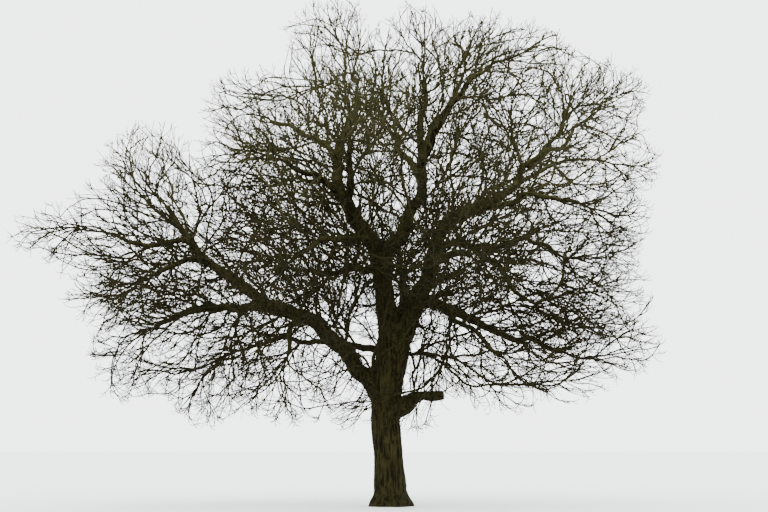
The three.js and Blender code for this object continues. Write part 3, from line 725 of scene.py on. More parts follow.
class FirstTwigs:
    """Grows the first twigs of a mass by the rule that the solids follow."""

    WANDERS = (0.12, 0.45, 0.8)
    FIRST_STEP = 0.6
    SKIN = 0.98
    SKIN_LEANS = (0, 0.5, -0.5)
    SKIN_CROWDING = 0.22
    SKIN_SLACK = 0.02
    MOST_ROOM = 9.0

    def __init__(self, space: CrownSpace, index: int) -> None:
        """Sets the mass's root on its bearer.

        Args:
            space: The crown's spaces.
            index: The mass's number.
        """
        self.space = space
        self.index = index
        self.mass = MASSES[index]
        self.numbers = SeededNumbers(index + 1)
        if self.mass.root:
            heading = unit(np.array(self.mass.root.heading, float))
            start = np.array(self.mass.root.at, float)
            self.radius = self.mass.root.radius
        else:
            bearer = solid_course(limb_named(self.mass.on))
            heading, start, self.radius = bearer.towards[-1], bearer.at[-1], bearer.radius[-1]
        self.root = start + heading * GAP
        self.through = unit(space.centres[index] - self.root)
        self.joints = [Joint(self.root, heading, -1)]
        self.joints.append(Joint(self.root + heading * STRIDE * self.FIRST_STEP, heading, 0))

    def on_skin(self, direction: Array, share: float) -> Array:
        """A place in a direction from the middle of the space, at a share of its size."""
        return self.space.centres[self.index] + unit(direction) * self.space.halves[self.index] * share

    def allowed(self, places: Array) -> Array:
        """Whether each place may be a goal: ahead of the root, in the space and clear of limbs."""
        ahead = unit(places - self.root) @ self.through > FAN
        return ahead & self.space.is_free(self.index, places, self.root)

    def goals(self) -> list[Array]:
        """The places that twigs end on: the furthest reach, then evenly spread ones.

        Returns:
            The places.
        """
        outward = unit(self.space.centres[self.index] - CROWN_CENTRE)
        found = []
        for lean in self.SKIN_LEANS:
            goal = self.on_skin(outward + UP * lean, self.SKIN)
            if self.allowed(goal[None])[0]:
                found.append(goal)
        tries = 0
        while len(found) < GOALS_PER_MASS and tries < GOALS_PER_MASS * GOAL_TRIES:
            tries += 1
            places = np.array([self.random_place() for _ in range(GOAL_TRIES)])
            free = self.allowed(places)
            best, best_room = None, 0.0
            for place, is_free in zip(places, free):
                room = min([self.MOST_ROOM] + [float(np.linalg.norm(goal - place)) for goal in found])
                if room > best_room and is_free:
                    best, best_room = place, room
            if best is not None:
                found.append(best)
        return found

    def random_place(self) -> Array:
        """A seeded random place in the space, mostly towards its skin.

        Returns:
            The place.
        """
        tilt = 2 * self.numbers.next() - 1
        turn = 2 * math.pi * self.numbers.next()
        flat = math.sqrt(1 - tilt * tilt)
        share = self.SKIN * self.numbers.next() ** self.SKIN_CROWDING
        return self.on_skin(np.array((flat * math.cos(turn), flat * math.sin(turn), tilt)), share)

    def may_grow(self, start: Array, end: Array) -> bool:
        """Whether a straight twig from one place to another keeps to its space.

        Args:
            start: Where it starts.
            end: Where it ends.

        Returns:
            True where it does.
        """
        own = self.space.shares(start[None])[0, self.index]
        probes = math.ceil(float(np.linalg.norm(end - start)) / PROBE)
        places = np.array([start + (end - start) * i / probes for i in range(1, probes + 1)])
        return bool(self.space.is_free(self.index, places, self.root, max(1, own + self.SKIN_SLACK)).all())

    def best_placed(self, goal: Array) -> int | None:
        """The joint that reaches a goal with the least length and turn.

        Args:
            goal: The goal.

        Returns:
            The joint's number, or nothing where no joint has the goal ahead.
        """
        at = np.array([joint.at for joint in self.joints[1:]])
        towards = np.array([joint.towards for joint in self.joints[1:]])
        way = goal - at
        ahead = row_dots(unit(way), towards)
        effort = np.linalg.norm(way, axis=1) * (1 + BACKWARD_COST * (1 - ahead))
        effort[ahead < LEAST_AHEAD] = np.inf
        best = int(np.argmin(effort))
        return best + 1 if np.isfinite(effort[best]) else None

    def grow(self) -> list[Joint]:
        """Grows the joints towards the goals, round by round.

        Returns:
            The joints, each after its parent.
        """
        goals = self.goals()
        for _ in range(ROUNDS):
            drawn: dict[int, list[int]] = {}
            for number, goal in enumerate(goals):
                near = self.best_placed(goal)
                if near is None:
                    continue
                joint = self.joints[near]
                if np.linalg.norm(joint.at - goal) < ARRIVE:
                    towards = unit(goal - joint.at)
                    if towards @ self.through > ONWARD and self.may_grow(joint.at, goal):
                        self.joints.append(Joint(goal, towards, near))
                    continue
                drawn.setdefault(near, []).append(number)
            kept = {number for pulling in drawn.values() for number in pulling}
            for near, pulling in drawn.items():
                at = self.joints[near].at
                nearest = min(pulling, key=lambda number: float(np.linalg.norm(goals[number] - at)))
                if self.step(near, [goals[number] for number in pulling]):
                    continue
                if not self.step(near, [goals[nearest]]):
                    kept.discard(nearest)
            goals = [goals[number] for number in sorted(kept)]
            if not goals:
                break
        return self.joints

    def step(self, near: int, pulling: list[Array]) -> bool:
        """Grows one joint towards the goals that pull it.

        Args:
            near: The joint's number.
            pulling: The goals.

        Returns:
            Whether it could grow.
        """
        joint = self.joints[near]
        pull = unit(sum(unit(goal - joint.at) for goal in pulling))
        pull = unit(pull + joint.towards * STEADINESS)
        if any(float(np.dot(way, pull)) > PARALLEL for way in joint.ways):
            return False
        for wander in self.WANDERS:
            sway = np.array([self.numbers.next() - 0.5 for _ in range(3)])
            towards = unit(pull + sway * 2 * wander)
            at = joint.at + towards * STRIDE
            if towards @ self.through >= ONWARD and self.may_grow(joint.at, at):
                self.joints.append(Joint(at, towards, near))
                joint.ways.append(pull)
                return True
        return False


@dataclass(frozen=True)
class Growth:
    """How one order of finer twigs grows, and how closely its goals lie in masses and round boughs."""

    stride: float
    arrive: float
    notice: float
    steadiness: float
    sway: float
    least_ahead: float
    most_children: int
    mass_goals_per_m3: float
    mass_share: float
    sleeve_goals_per_m3: float
    sleeve_reach: float
    leaving: float = 0.3
    onward: float = -0.1
    turn_cost: float = 1.3
    lift: float = 0.05
    outward: float = 0.12
    parallel: float = 0.88
    rounds: int = 40
    candidates: int = 5
    limb_clearance: float = 0.04
    sleeve_lowest: float = 5.3
    lowest: float = 2.2
    shunning: float = 0.6
    shunned_reach: float = 0.6
    curl_steps: int = 3
    least_curl_ahead: float = 0.3


BRANCH_GROWTH = Growth(stride=0.27, arrive=0.25, notice=1.7, steadiness=1.1, sway=0.2, least_ahead=0.6,
    most_children=2, mass_goals_per_m3=9.0, mass_share=0.75, sleeve_goals_per_m3=5.0, sleeve_reach=1.5,
    outward=0.1, limb_clearance=0.12)
TWIG_GROWTH = Growth(stride=0.18, arrive=0.15, notice=0.9, steadiness=0.9, sway=0.16, least_ahead=0.45,
    most_children=2, mass_goals_per_m3=104.0, mass_share=0.93, sleeve_goals_per_m3=46.0, sleeve_reach=1.6,
    outward=0.14, limb_clearance=0.08)

# Where side twigs and sprouts start on the limbs, and the box that the crown's goals are strewn in.
LIMB_SEED_SPACING = 0.5
LIMB_SEED_START = 0.16
SPROUT_MARGIN = 0.04
GOAL_CLEARANCE = 0.08
CROWN_LOW = (-10.6, -7.3)
CROWN_HIGH = (8.35, 8.3, 14.75)


class TwigNet:
    """All twigs of the crown as joints: the first ones, and the finer ones grown on from them."""

    SEED = 11
    BENDS = 3
    BEND_REACH = 0.8
    ROOT_DEPTH = 0.02

    def __init__(self, space: CrownSpace) -> None:
        """Starts an empty net in the crown's spaces."""
        self.space = space
        self.random = np.random.default_rng(self.SEED)
        self.at: list[Array] = []
        self.towards: list[Array] = []
        self.parent: list[int] = []
        self.group: list[int] = []
        self.exit: list[float] = []
        self.main: list[Array] = []
        self.ways: list[list[Array]] = []
        self.stem_radius: dict[int, float] = {}

    def add(self, at: Array, towards: Array, parent: int, group: int, out: float = 0.0) -> int:
        """Adds one joint.

        Args:
            at: Its place.
            towards: Its heading.
            parent: The number of the joint that carries it, or -1.
            group: The mass whose piece it belongs to.
            out: The limb's radius where the joint lies inside a limb.

        Returns:
            Its number.
        """
        if parent >= 0:
            self.ways[parent].append(unit(at - self.at[parent]))
        self.at.append(at)
        self.towards.append(towards)
        self.parent.append(parent)
        self.group.append(group)
        self.exit.append(out)
        inherits = parent >= 0 and self.exit[parent] <= 0
        self.main.append(self.main[parent] if inherits else towards)
        self.ways.append([])
        return len(self.at) - 1

    def plant_masses(self) -> None:
        """Adds the first twigs of every mass, bent smoothly through their joints."""
        for index in range(len(MASSES)):
            growth = FirstTwigs(self.space, index)
            numbers: list[int] = []
            for joint in growth.grow():
                if joint.parent < 0:
                    root = joint.at - joint.towards * self.ROOT_DEPTH
                    numbers.append(self.add(root, joint.towards, -1, index))
                    self.stem_radius[numbers[0]] = growth.radius
                    self.main[numbers[0]] = growth.through
                    continue
                before = growth.joints[joint.parent]
                carrier = numbers[joint.parent]
                for i in range(1, self.BENDS + 1):
                    place, heading = self.bend(before, joint, i / self.BENDS)
                    carrier = self.add(place, heading, carrier, index)
                numbers.append(carrier)

    def bend(self, before: Joint, joint: Joint, part: float) -> tuple[Array, Array]:
        """A place and heading on the smooth bend from one joint to the next.

        Args:
            before: The joint that the bend leaves.
            joint: The joint that it reaches.
            part: The share of the way.

        Returns:
            The place and the heading.
        """
        p0, p1 = before.at, joint.at
        length = float(np.linalg.norm(p1 - p0))
        m0, m1 = before.towards * length * self.BEND_REACH, joint.towards * length * self.BEND_REACH
        a, b, c = part**3, part**2, part
        place = p0 * (2 * a - 3 * b + 1) + m0 * (a - 2 * b + c) + p1 * (3 * b - 2 * a) + m1 * (a - b)
        slope = (p0 - p1) * (6 * b - 6 * c) + m0 * (3 * b - 4 * c + 1) + m1 * (3 * b - 2 * c)
        return place, unit(slope)

    @staticmethod
    def bearers() -> dict[str, int]:
        """The mass in whose piece each limb's own twigs are kept.

        Returns:
            For each limb's name, the mass's number.
        """
        bearers = {mass.on: index for index, mass in enumerate(MASSES)}
        bearers["bough_left"] = bearers["bough_left_arm"]
        bearers[STUB] = bearers["trunk"]
        return bearers

    def plant_limbs(self) -> None:
        """Adds places inside the limbs that side twigs may start from."""
        bearers = self.bearers()
        for limb in LIMBS[1:]:
            course = fine_course(limb, LIMB_SEED_SPACING)
            first = LIMB_SEED_START * course.run[-1]
            for i in range(1, len(course.at) - 1):
                if course.run[i] > first:
                    self.add(course.at[i], course.towards[i], -1, bearers[limb.name], course.radius[i])

    def plant_thickets(self) -> None:
        """Adds places inside the limbs where crowds of sprouts start."""
        bearers = self.bearers()
        for thicket in THICKETS:
            course = fine_course(limb_named(thicket.on), thicket.spacing)
            heading = unit(np.array(thicket.heading))
            for at, run, radius in zip(course.at, course.run, course.radius):
                if thicket.first_share * course.run[-1] < run < course.run[-1] - SPROUT_MARGIN:
                    self.add(at, heading, -1, bearers[thicket.on], radius)

    def goals(self, growth: Growth) -> Array:
        """The places that twigs reach for: through each mass, and round the boughs.

        Args:
            growth: How closely the places lie.

        Returns:
            The places, n by 3.
        """
        low = np.array((*CROWN_LOW, growth.lowest))
        high = np.array(CROWN_HIGH)
        density = max(growth.mass_goals_per_m3, growth.sleeve_goals_per_m3)
        count = int(density * np.prod(high - low))
        places = low + self.random.random((count, 3)) * (high - low)
        share = self.space.shares(places).min(axis=1)
        distance = self.space.distances(places)
        bears = np.array([owner.startswith(("bough", "leader")) for owner in self.space.owners])
        leads = np.array([owner.startswith("leader") for owner in self.space.owners])
        bears &= ~leads | (self.space.starts[:, 2] > growth.sleeve_lowest)
        nearest = distance[:, bears].min(axis=1)
        clear = (distance - self.space.radii).min(axis=1) > growth.limb_clearance + GOAL_CLEARANCE
        luck = self.random.random(count) * density
        in_mass = (share < growth.mass_share) & (luck < growth.mass_goals_per_m3 * (0.5 + 0.5 * share**2))
        in_sleeve = (nearest < growth.sleeve_reach) & (luck < growth.sleeve_goals_per_m3)
        kept = clear & (in_mass | in_sleeve)
        for space in THIN_SPACES:
            inside = np.linalg.norm((places - space.centre) / space.half, axis=1) < 1
            kept &= ~inside | (self.random.random(count) < space.kept)
        return places[kept]

    def goals_in(self, centre: Triple, half: Triple, goals_per_m3: float) -> Array:
        """Places strewn evenly through a rounded space, clear of limbs.

        Args:
            centre: The middle of the space.
            half: Its half sizes.
            goals_per_m3: How closely they lie.

        Returns:
            The places.
        """
        some = self.random.uniform(-1, 1, (int(goals_per_m3 * 8 * math.prod(half)), 3))
        some = np.array(centre) + some[np.linalg.norm(some, axis=1) < 1] * half
        return some[self.space.clearance(some) > GOAL_CLEARANCE]

    def grow(self) -> None:
        """Grows the whole net: the first twigs, branches along the limbs, then twigs on all of them."""
        self.plant_masses()
        self.plant_limbs()
        dense = [self.goals_in(some.centre, some.half, some.branch_goals_per_m3) for some in DENSE_SPACES]
        self.spread(BRANCH_GROWTH, np.vstack([self.goals(BRANCH_GROWTH), *dense]))
        self.plant_thickets()
        dense = [self.goals_in(some.centre, some.half, some.twig_goals_per_m3) for some in DENSE_SPACES]
        crowds = [self.goals_in(crowd.centre, crowd.half, crowd.goals_per_m3) for crowd in THICKETS]
        self.spread(TWIG_GROWTH, np.vstack([self.goals(TWIG_GROWTH), *dense, *crowds]))

    def spread(self, growth: Growth, goals: Array) -> None:
        """Grows finer twigs from every joint towards the goals that it reaches with the least turn.

        Args:
            growth: How they grow.
            goals: The places that they reach for.
        """
        best = np.full(len(goals), -1)
        least = np.full(len(goals), np.inf)
        open_goal = np.ones(len(goals), bool)
        fresh = range(len(self.at))
        for _ in range(growth.rounds):
            at = np.array(self.at)
            towards = np.array(self.towards)
            rows, numbers = self.candidates(growth, goals, np.flatnonzero(open_goal), fresh)
            offset = goals[rows] - at[numbers]
            distance = np.linalg.norm(offset, axis=1)
            ahead = row_dots(unit(offset), towards[numbers])
            effort = distance * (1 + growth.turn_cost * (1 - ahead))
            effort[ahead < growth.least_ahead] = np.inf
            order = np.lexsort((effort, rows))
            rows, numbers, effort = rows[order], numbers[order], effort[order]
            chosen, first = np.unique(rows, return_index=True)
            better = effort[first] < least[chosen]
            best[chosen[better]] = numbers[first[better]]
            least[chosen[better]] = effort[first[better]]
            offset = goals - at[best]
            distance = np.linalg.norm(offset, axis=1)
            open_goal &= (distance > growth.arrive) | np.isinf(least)
            drawn = np.flatnonzero(open_goal & np.isfinite(least))
            drawn = drawn[np.argsort(best[drawn], kind="stable")]
            pulled, first = np.unique(best[drawn], return_index=True)
            if not len(pulled):
                break
            way = unit(offset)
            start = len(self.at)
            for number, some in zip(pulled, np.split(drawn, first[1:])):
                nearest = some[np.argmin(distance[some])]
                if self.step(growth, int(number), way[some].sum(axis=0)) is None:
                    if self.step(growth, int(number), way[nearest]) is None:
                        open_goal[nearest] = False
            fresh = range(start, len(self.at))
        log.info("goals: %d, joints: %d, goals left: %d", len(goals), len(self.at), int(open_goal.sum()))

    def candidates(self, growth: Growth, goals: Array, asked: Array,
            fresh: range) -> tuple[Array, Array]:
        """The nearest fresh joints to each goal asked about.

        Args:
            growth: How far a goal is noticed from, and how many joints are compared.
            goals: All goals.
            asked: The numbers of the goals.
            fresh: The joints.

        Returns:
            Goal numbers, and the joints' numbers beside them.
        """
        tree = kdtree.KDTree(len(fresh))
        for number in fresh:
            tree.insert(self.at[number], number)
        tree.balance()
        rows, numbers = [], []
        for goal in asked if len(fresh) else ():
            for _, number, far in tree.find_n(goals[goal], growth.candidates):
                if far < growth.notice:
                    rows.append(goal)
                    numbers.append(number)
        return np.array(rows, int), np.array(numbers, int)

    def forebear(self, number: int, steps: int) -> int:
        """The joint that lies some steps back on the same twig.

        Args:
            number: The joint to start from.
            steps: How many steps.

        Returns:
            Its number, or that of the twig's first joint outside the limb.
        """
        for _ in range(steps):
            above = self.parent[number]
            if above < 0 or self.exit[above] > 0:
                return number
            number = above
        return number

    def step(self, growth: Growth, number: int, pull: Array) -> int | None:
        """Grows one joint, unless it has enough twigs, one that way already, or no room.

        Args:
            growth: How it grows.
            number: The joint.
            pull: Where its goals draw it.

        Returns:
            The new joint's number, or nothing.
        """
        if len(self.ways[number]) >= growth.most_children:
            return None
        at, towards = self.at[number], self.towards[number]
        steadiness = growth.steadiness * (growth.leaving if self.exit[number] > 0 else 1)
        aim = unit(unit(pull) + towards * steadiness)
        if any(float(np.dot(way, aim)) > growth.parallel for way in self.ways[number]):
            return None
        outward = unit(at - CROWN_CENTRE) * growth.outward
        sway = self.random.normal(0, growth.sway, 3)
        gap, off_limb = self.space.nearest_limb(at)
        shunning = off_limb * growth.shunning * max(0.0, 1 - max(gap, 0.0) / growth.shunned_reach)
        turned = unit(aim + sway + outward + UP * growth.lift + (0 if self.exit[number] > 0 else shunning))
        place = at + turned * (growth.stride + self.exit[number])
        close = self.space.nearest_limb(place)[0] < growth.limb_clearance
        curls = turned @ self.towards[self.forebear(number, growth.curl_steps)] < growth.least_curl_ahead
        if turned @ self.main[number] < growth.onward or curls or close:
            return None
        return self.add(place, turned, number, self.group[number])


@dataclass(frozen=True)
class TwigSizes:
    """Thickness of twigs, lengths and spreads of shoots, and where a twig counts as high and takes the
    paler colours of painted haze.
    """

    tip_radius: float = 0.01
    swell: float = 0.235
    swell_length: float = 0.19
    stem_swell: float = 0.16
    side_stem_share: float = 0.4
    round_from: float = 0.03
    round_sides: int = 7
    oval_from: float = 0.017
    oval_sides: int = 5
    fine_sides: int = 3
    shoot_base: float = 0.0094
    shoot_middle: float = 0.0082
    shoot_tip: float = 0.0076
    shoots_below: float = 0.028
    side_share: float = 0.26
    tip_pair_share: float = 0.55
    smoothings: int = 3
    smoothing: float = 0.5
    # Above this height, made uneven by noise, twigs take paler colours that paint the haze of the upper
    # crown.
    painted_haze_from: float = 9.0
    painted_haze_unevenness: float = 2.5
    painted_haze_grain: float = 0.8
    start_swell: float = 1.15
    shoot_lengths: tuple[float, float] = (0.12, 0.3)
    tip_spread_degrees: tuple[float, float] = (2, 16)
    side_spread_degrees: tuple[float, float] = (32, 66)
    shoot_upturns: tuple[float, float] = (0.15, 0.75)
    shoot_lift: float = 0.12
    shoot_sway: float = 0.16
    past_box: float = 0.2
    shoot_clearance: float = 0.02
    first_share: float = 0.52
    second_share: float = 0.5


class TwigKind(Enum):
    """The colour that a twig takes: the bark of old wood or of a young shoot low in the crown, and high in
    the crown a paler copy of each, which is painted haze.
    """

    OLD = 0
    YOUNG = 1
    HIGH_OLD_PAINTED_HAZE = 2
    HIGH_YOUNG_PAINTED_HAZE = 3


@dataclass
class TubeRun:
    """Tubes to be made: the rings of all of them in a row, and the kind and the length of each tube."""

    sides: int
    kinds: Array
    at: Array
    towards: Array
    radius: Array
    lengths: Array


class TwigMesh:
    """Joins many tubes with few sides into one mesh, from arrays."""

    LEAN = np.array((0.31, 0.17, 0.93))

    def __init__(self) -> None:
        """Starts with no tubes."""
        self.points: list[Array] = []
        self.corners: list[Array] = []
        self.sizes: list[Array] = []
        self.kinds: list[Array] = []
        self.count = 0

    def add(self, run: TubeRun) -> None:
        """Adds the tubes of a run, each closed at both ends.

        Args:
            run: The tubes.
        """
        if not len(run.lengths):
            return
        ends = np.cumsum(run.lengths)
        starts = ends - run.lengths
        chord = unit(run.at[ends - 1] - run.at[starts])
        side = unit(np.cross(chord, self.LEAN))
        side = np.repeat(side, run.lengths, axis=0)
        across = unit(side - run.towards * row_dots(side, run.towards)[:, None])
        other = np.cross(run.towards, across)
        angle = np.arange(run.sides) * 2 * math.pi / run.sides
        ring = across[:, None, :] * np.cos(angle)[:, None] + other[:, None, :] * np.sin(angle)[:, None]
        points = run.at[:, None, :] + ring * run.radius[:, None, None]
        self.points.append(points.reshape(-1, 3))
        lower = np.setdiff1d(np.arange(len(run.at)), ends - 1)
        k = np.arange(run.sides)
        after = (k + 1) % run.sides
        base = self.count + lower[:, None] * run.sides
        quads = np.stack((base + k, base + after, base + run.sides + after, base + run.sides + k), axis=2)
        self.take(quads.reshape(-1, 4), np.repeat(run.kinds, (run.lengths - 1) * run.sides))
        first = self.count + starts[:, None] * run.sides + k[::-1]
        last = self.count + (ends - 1)[:, None] * run.sides + k
        self.take(first, run.kinds)
        self.take(last, run.kinds)
        self.count += len(run.at) * run.sides

    def take(self, faces: Array, kinds: Array) -> None:
        """Keeps some faces.

        Args:
            faces: Their corners, the same number for each.
            kinds: The kind of twig that each belongs to.
        """
        self.corners.append(faces.ravel())
        self.sizes.append(np.full(len(faces), faces.shape[1]))
        self.kinds.append(kinds)

    def build(self, name: str, finishes: list[Material]) -> Object:
        """Makes the mesh.

        Args:
            name: The piece's name.
            finishes: One material for each kind of twig.

        Returns:
            The new object, in the scene.
        """
        points = np.vstack(self.points)
        corners = np.concatenate(self.corners)
        sizes = np.concatenate(self.sizes)
        mesh = bpy.data.meshes.new(name)
        mesh.vertices.add(len(points))
        mesh.vertices.foreach_set("co", points.astype(np.float32).ravel())
        mesh.loops.add(len(corners))
        mesh.loops.foreach_set("vertex_index", corners.astype(np.int32))
        mesh.polygons.add(len(sizes))
        starts = np.concatenate(((0,), np.cumsum(sizes)[:-1]))
        mesh.polygons.foreach_set("loop_start", starts.astype(np.int32))
        mesh.polygons.foreach_set("material_index", np.concatenate(self.kinds).astype(np.int32))
        mesh.update(calc_edges=True)
        mesh.validate()
        return piece_of(mesh, finishes)


class Twigs:
    """Turns the net of joints into twigs with thickness, and sets shoots on them."""

    SEED = 23

    def __init__(self, net: TwigNet, sizes: TwigSizes) -> None:
        """Works out how many tips each joint bears and how thick it is.

        Args:
            net: The grown joints.
            sizes: Thicknesses.
        """
        self.net = net
        self.sizes = sizes
        self.random = np.random.default_rng(self.SEED)
        self.at = np.array(net.at)
        self.towards = np.array(net.towards)
        self.parent = np.array(net.parent)
        self.group = np.array(net.group)
        self.in_limb = np.array(net.exit) > 0
        self.children: list[list[int]] = [[] for _ in net.at]
        bears = [0.0] * len(net.at)
        for number in range(len(net.at) - 1, -1, -1):
            above = net.parent[number]
            if above >= 0:
                self.children[above].append(number)
                bears[above] += bears[number] + float(np.linalg.norm(net.at[number] - net.at[above]))
        self.bears = np.array(bears)
        self.smooth()
        self.at += np.where(self.in_limb[:, None], 0.0, wobble(self.at))
        self.radius = self.thickness()

    def smooth(self) -> None:
        """Draws every joint towards the middle between the ones before and after it on its twig."""
        after = np.array([max(family, key=lambda n: self.bears[n], default=-1) for family in self.children])
        inner = np.flatnonzero((self.parent >= 0) & (after >= 0))
        before, beyond = self.parent[inner], after[inner]
        for _ in range(self.sizes.smoothings):
            middle = (self.at[before] + self.at[beyond]) / 2
            self.at[inner] += (middle - self.at[inner]) * self.sizes.smoothing

    def thickness(self) -> Array:
        """The radius at each joint: it swells with the twigs it bears, up to what its stem allows.

        Returns:
            The radii.
        """
        sizes = self.sizes
        whole = np.ones(len(self.at))
        stem = np.full(len(self.at), np.inf)
        for number in range(len(self.at)):
            above = self.parent[number]
            if number in self.net.stem_radius:
                stem[number] = self.net.stem_radius[number]
                whole[number] = self.bears[number]
            elif above >= 0 and self.in_limb[above]:
                stem[number] = self.net.exit[above] * sizes.side_stem_share
                whole[number] = self.bears[number] + sizes.swell_length
            elif above >= 0:
                stem[number] = stem[above]
                whole[number] = whole[above]
        most = stem * ((self.bears + sizes.swell_length) / whole) ** sizes.stem_swell
        swollen = sizes.tip_radius * (1 + self.bears / sizes.swell_length) ** sizes.swell
        return np.minimum(swollen, np.maximum(most, sizes.tip_radius))

    def runs(self) -> dict[int, list[TubeRun]]:
        """The twigs, sorted by group and by how many sides they need.

        Returns:
            For each group, its runs of tubes.
        """
        sizes = self.sizes
        chains: dict[tuple[int, int], list[list[int]]] = {}
        starts = [(-1, number) for number in np.flatnonzero(self.parent < 0) if not self.in_limb[number]]
        for number in np.flatnonzero(self.in_limb):
            starts += [(int(number), child) for child in self.children[number]]
        while starts:
            carrier, number = starts.pop()
            chain = [carrier, int(number)] if carrier >= 0 else [int(number)]
            while self.children[chain[-1]]:
                family = sorted(self.children[chain[-1]], key=lambda n: (-self.bears[n], n))
                starts += [(chain[-1], other) for other in family[1:]]
                chain.append(family[0])
            thick = self.radius[chain[1]] if len(chain) > 1 else 0
            finer = sizes.oval_sides if thick > sizes.oval_from else sizes.fine_sides
            sides = sizes.round_sides if thick > sizes.round_from else finer
            chains.setdefault((int(self.group[chain[-1]]), sides), []).append(chain)
        runs: dict[int, list[TubeRun]] = {}
        for (group, sides), rows in sorted(chains.items()):
            runs.setdefault(group, []).append(self.run_of(rows, sides))
        return runs

    def run_of(self, rows: list[list[int]], sides: int) -> TubeRun:
        """One run of tubes along chains of joints.

        Args:
            rows: The chains, each a list of joint numbers.
            sides: How many sides the tubes have.

        Returns:
            The run.
        """
        flat = np.concatenate([np.array(row) for row in rows])
        lengths = np.array([len(row) for row in rows])
        starts = np.cumsum(lengths) - lengths
        seconds = np.minimum(starts + 1, len(flat) - 1)
        at, towards, radius = self.at[flat], self.towards[flat], self.radius[flat]
        radius[starts] = np.minimum(radius[starts], radius[seconds] * self.sizes.start_swell)
        towards[starts] = np.where(lengths[:, None] > 1, unit(at[seconds] - at[starts]), towards[starts])
        middle = np.ones(len(flat), bool)
        middle[starts] = False
        middle[starts + lengths - 1] = False
        inner = np.flatnonzero(middle)
        towards[inner] = unit(at[inner + 1] - at[inner - 1])
        kinds = self.kinds(at[starts + lengths - 1], TwigKind.OLD, TwigKind.HIGH_OLD_PAINTED_HAZE)
        run = TubeRun(sides, kinds, at, towards, radius, lengths)
        return self.eased(run) if sides > self.sizes.fine_sides else run

    def kinds(self, ends: Array, low: TwigKind, high: TwigKind) -> Array:
        """The kind of each twig, with an uneven line between low and high, above which twigs take the paler
        colours of painted haze.
        """
        uneven = even_noise(ends * self.sizes.painted_haze_grain, 9) * self.sizes.painted_haze_unevenness
        return np.where(ends[:, 2] + uneven > self.sizes.painted_haze_from, high.value, low.value)

    @staticmethod
    def eased(run: TubeRun) -> TubeRun:
        """Gives tubes a ring more in the middle of every step, on a smooth bend.

        Args:
            run: The tubes.

        Returns:
            The tubes with their new rings.
        """
        ends = np.cumsum(run.lengths) - 1
        low = np.setdiff1d(np.arange(len(run.at)), ends)
        step = run.at[low + 1] - run.at[low]
        length = np.linalg.norm(step, axis=1)[:, None]
        before, beyond = run.towards[low], run.towards[low + 1]
        middle = (run.at[low] + run.at[low + 1]) / 2 + (before - beyond) * length / 8
        way = unit(step * 1.5 - (before + beyond) * length / 4)
        radius = (run.radius[low] + run.radius[low + 1]) / 2
        order = np.argsort(np.concatenate((np.arange(len(run.at)), low + 0.5)), kind="stable")
        return TubeRun(run.sides, run.kinds, np.vstack((run.at, middle))[order],
            np.vstack((run.towards, way))[order], np.concatenate((run.radius, radius))[order],
            2 * run.lengths - 1)

    def shoots(self, space: CrownSpace) -> dict[int, TubeRun]:
        """Short upturned shoots along the thin twigs and at their tips.

        Args:
            space: The limbs that they keep clear of.

        Returns:
            For each group, its shoots.
        """
        sizes = self.sizes
        rnd = self.random
        thin = ~self.in_limb & (self.radius < sizes.shoots_below)
        is_tip = np.array([not family for family in self.children])
        side = np.flatnonzero(thin & (rnd.random(len(thin)) < sizes.side_share))
        tip = np.flatnonzero(thin & is_tip)
        pair = tip[rnd.random(len(tip)) < sizes.tip_pair_share]
        bearer = np.concatenate((side, tip, pair, pair))
        is_end = np.repeat((False, True, False), (len(side), len(tip), 2 * len(pair)))
        count = len(bearer)
        heading = self.towards[bearer]
        flat = unit(np.cross(heading, rnd.normal(0, 1, (count, 3))))
        spans = (sizes.tip_spread_degrees, sizes.side_spread_degrees) + (sizes.shoot_lengths,) * 2
        tip_spread, side_spread, tip_length, side_length = (rnd.uniform(*span, count) for span in spans)
        spread = np.radians(np.where(is_end, tip_spread, side_spread))[:, None]
        length = np.where(is_end, tip_length, side_length)[:, None]
        first = unit(heading * np.cos(spread) + flat * np.sin(spread) + UP * sizes.shoot_lift)
        upturn = rnd.uniform(*sizes.shoot_upturns, (count, 1))
        second = unit(first + UP * upturn + rnd.normal(0, sizes.shoot_sway, (count, 3)))
        start = self.at[bearer]
        middle = start + first * length * sizes.first_share
        end = middle + second * length * sizes.second_share
        box_low, box_high = (np.array(corner) for corner in CAD_BOX)
        inside = ((end > box_low - sizes.past_box) & (end < box_high + sizes.past_box)).all(axis=1)
        keep = inside & (space.clearance(end) > sizes.shoot_clearance) & (space.clearance(middle) > 0.0)
        runs = {}
        for group in range(len(MASSES)):
            chosen = np.flatnonzero(keep & (self.group[bearer] == group))
            at = np.stack((start[chosen], middle[chosen], end[chosen]), axis=1).reshape(-1, 3)
            ways = np.stack((first[chosen], unit(first[chosen] + second[chosen]), second[chosen]), axis=1)
            radius = np.full((len(chosen), 3), (sizes.shoot_base, sizes.shoot_middle, sizes.shoot_tip))
            radius[:, 0] = np.minimum(self.radius[bearer[chosen]], sizes.shoot_base)
            kinds = self.kinds(end[chosen], TwigKind.YOUNG, TwigKind.HIGH_YOUNG_PAINTED_HAZE)
            lengths = np.full(len(chosen), 3)
            runs[group] = TubeRun(sizes.fine_sides, kinds, at, ways.reshape(-1, 3), radius.ravel(), lengths)
        return runs


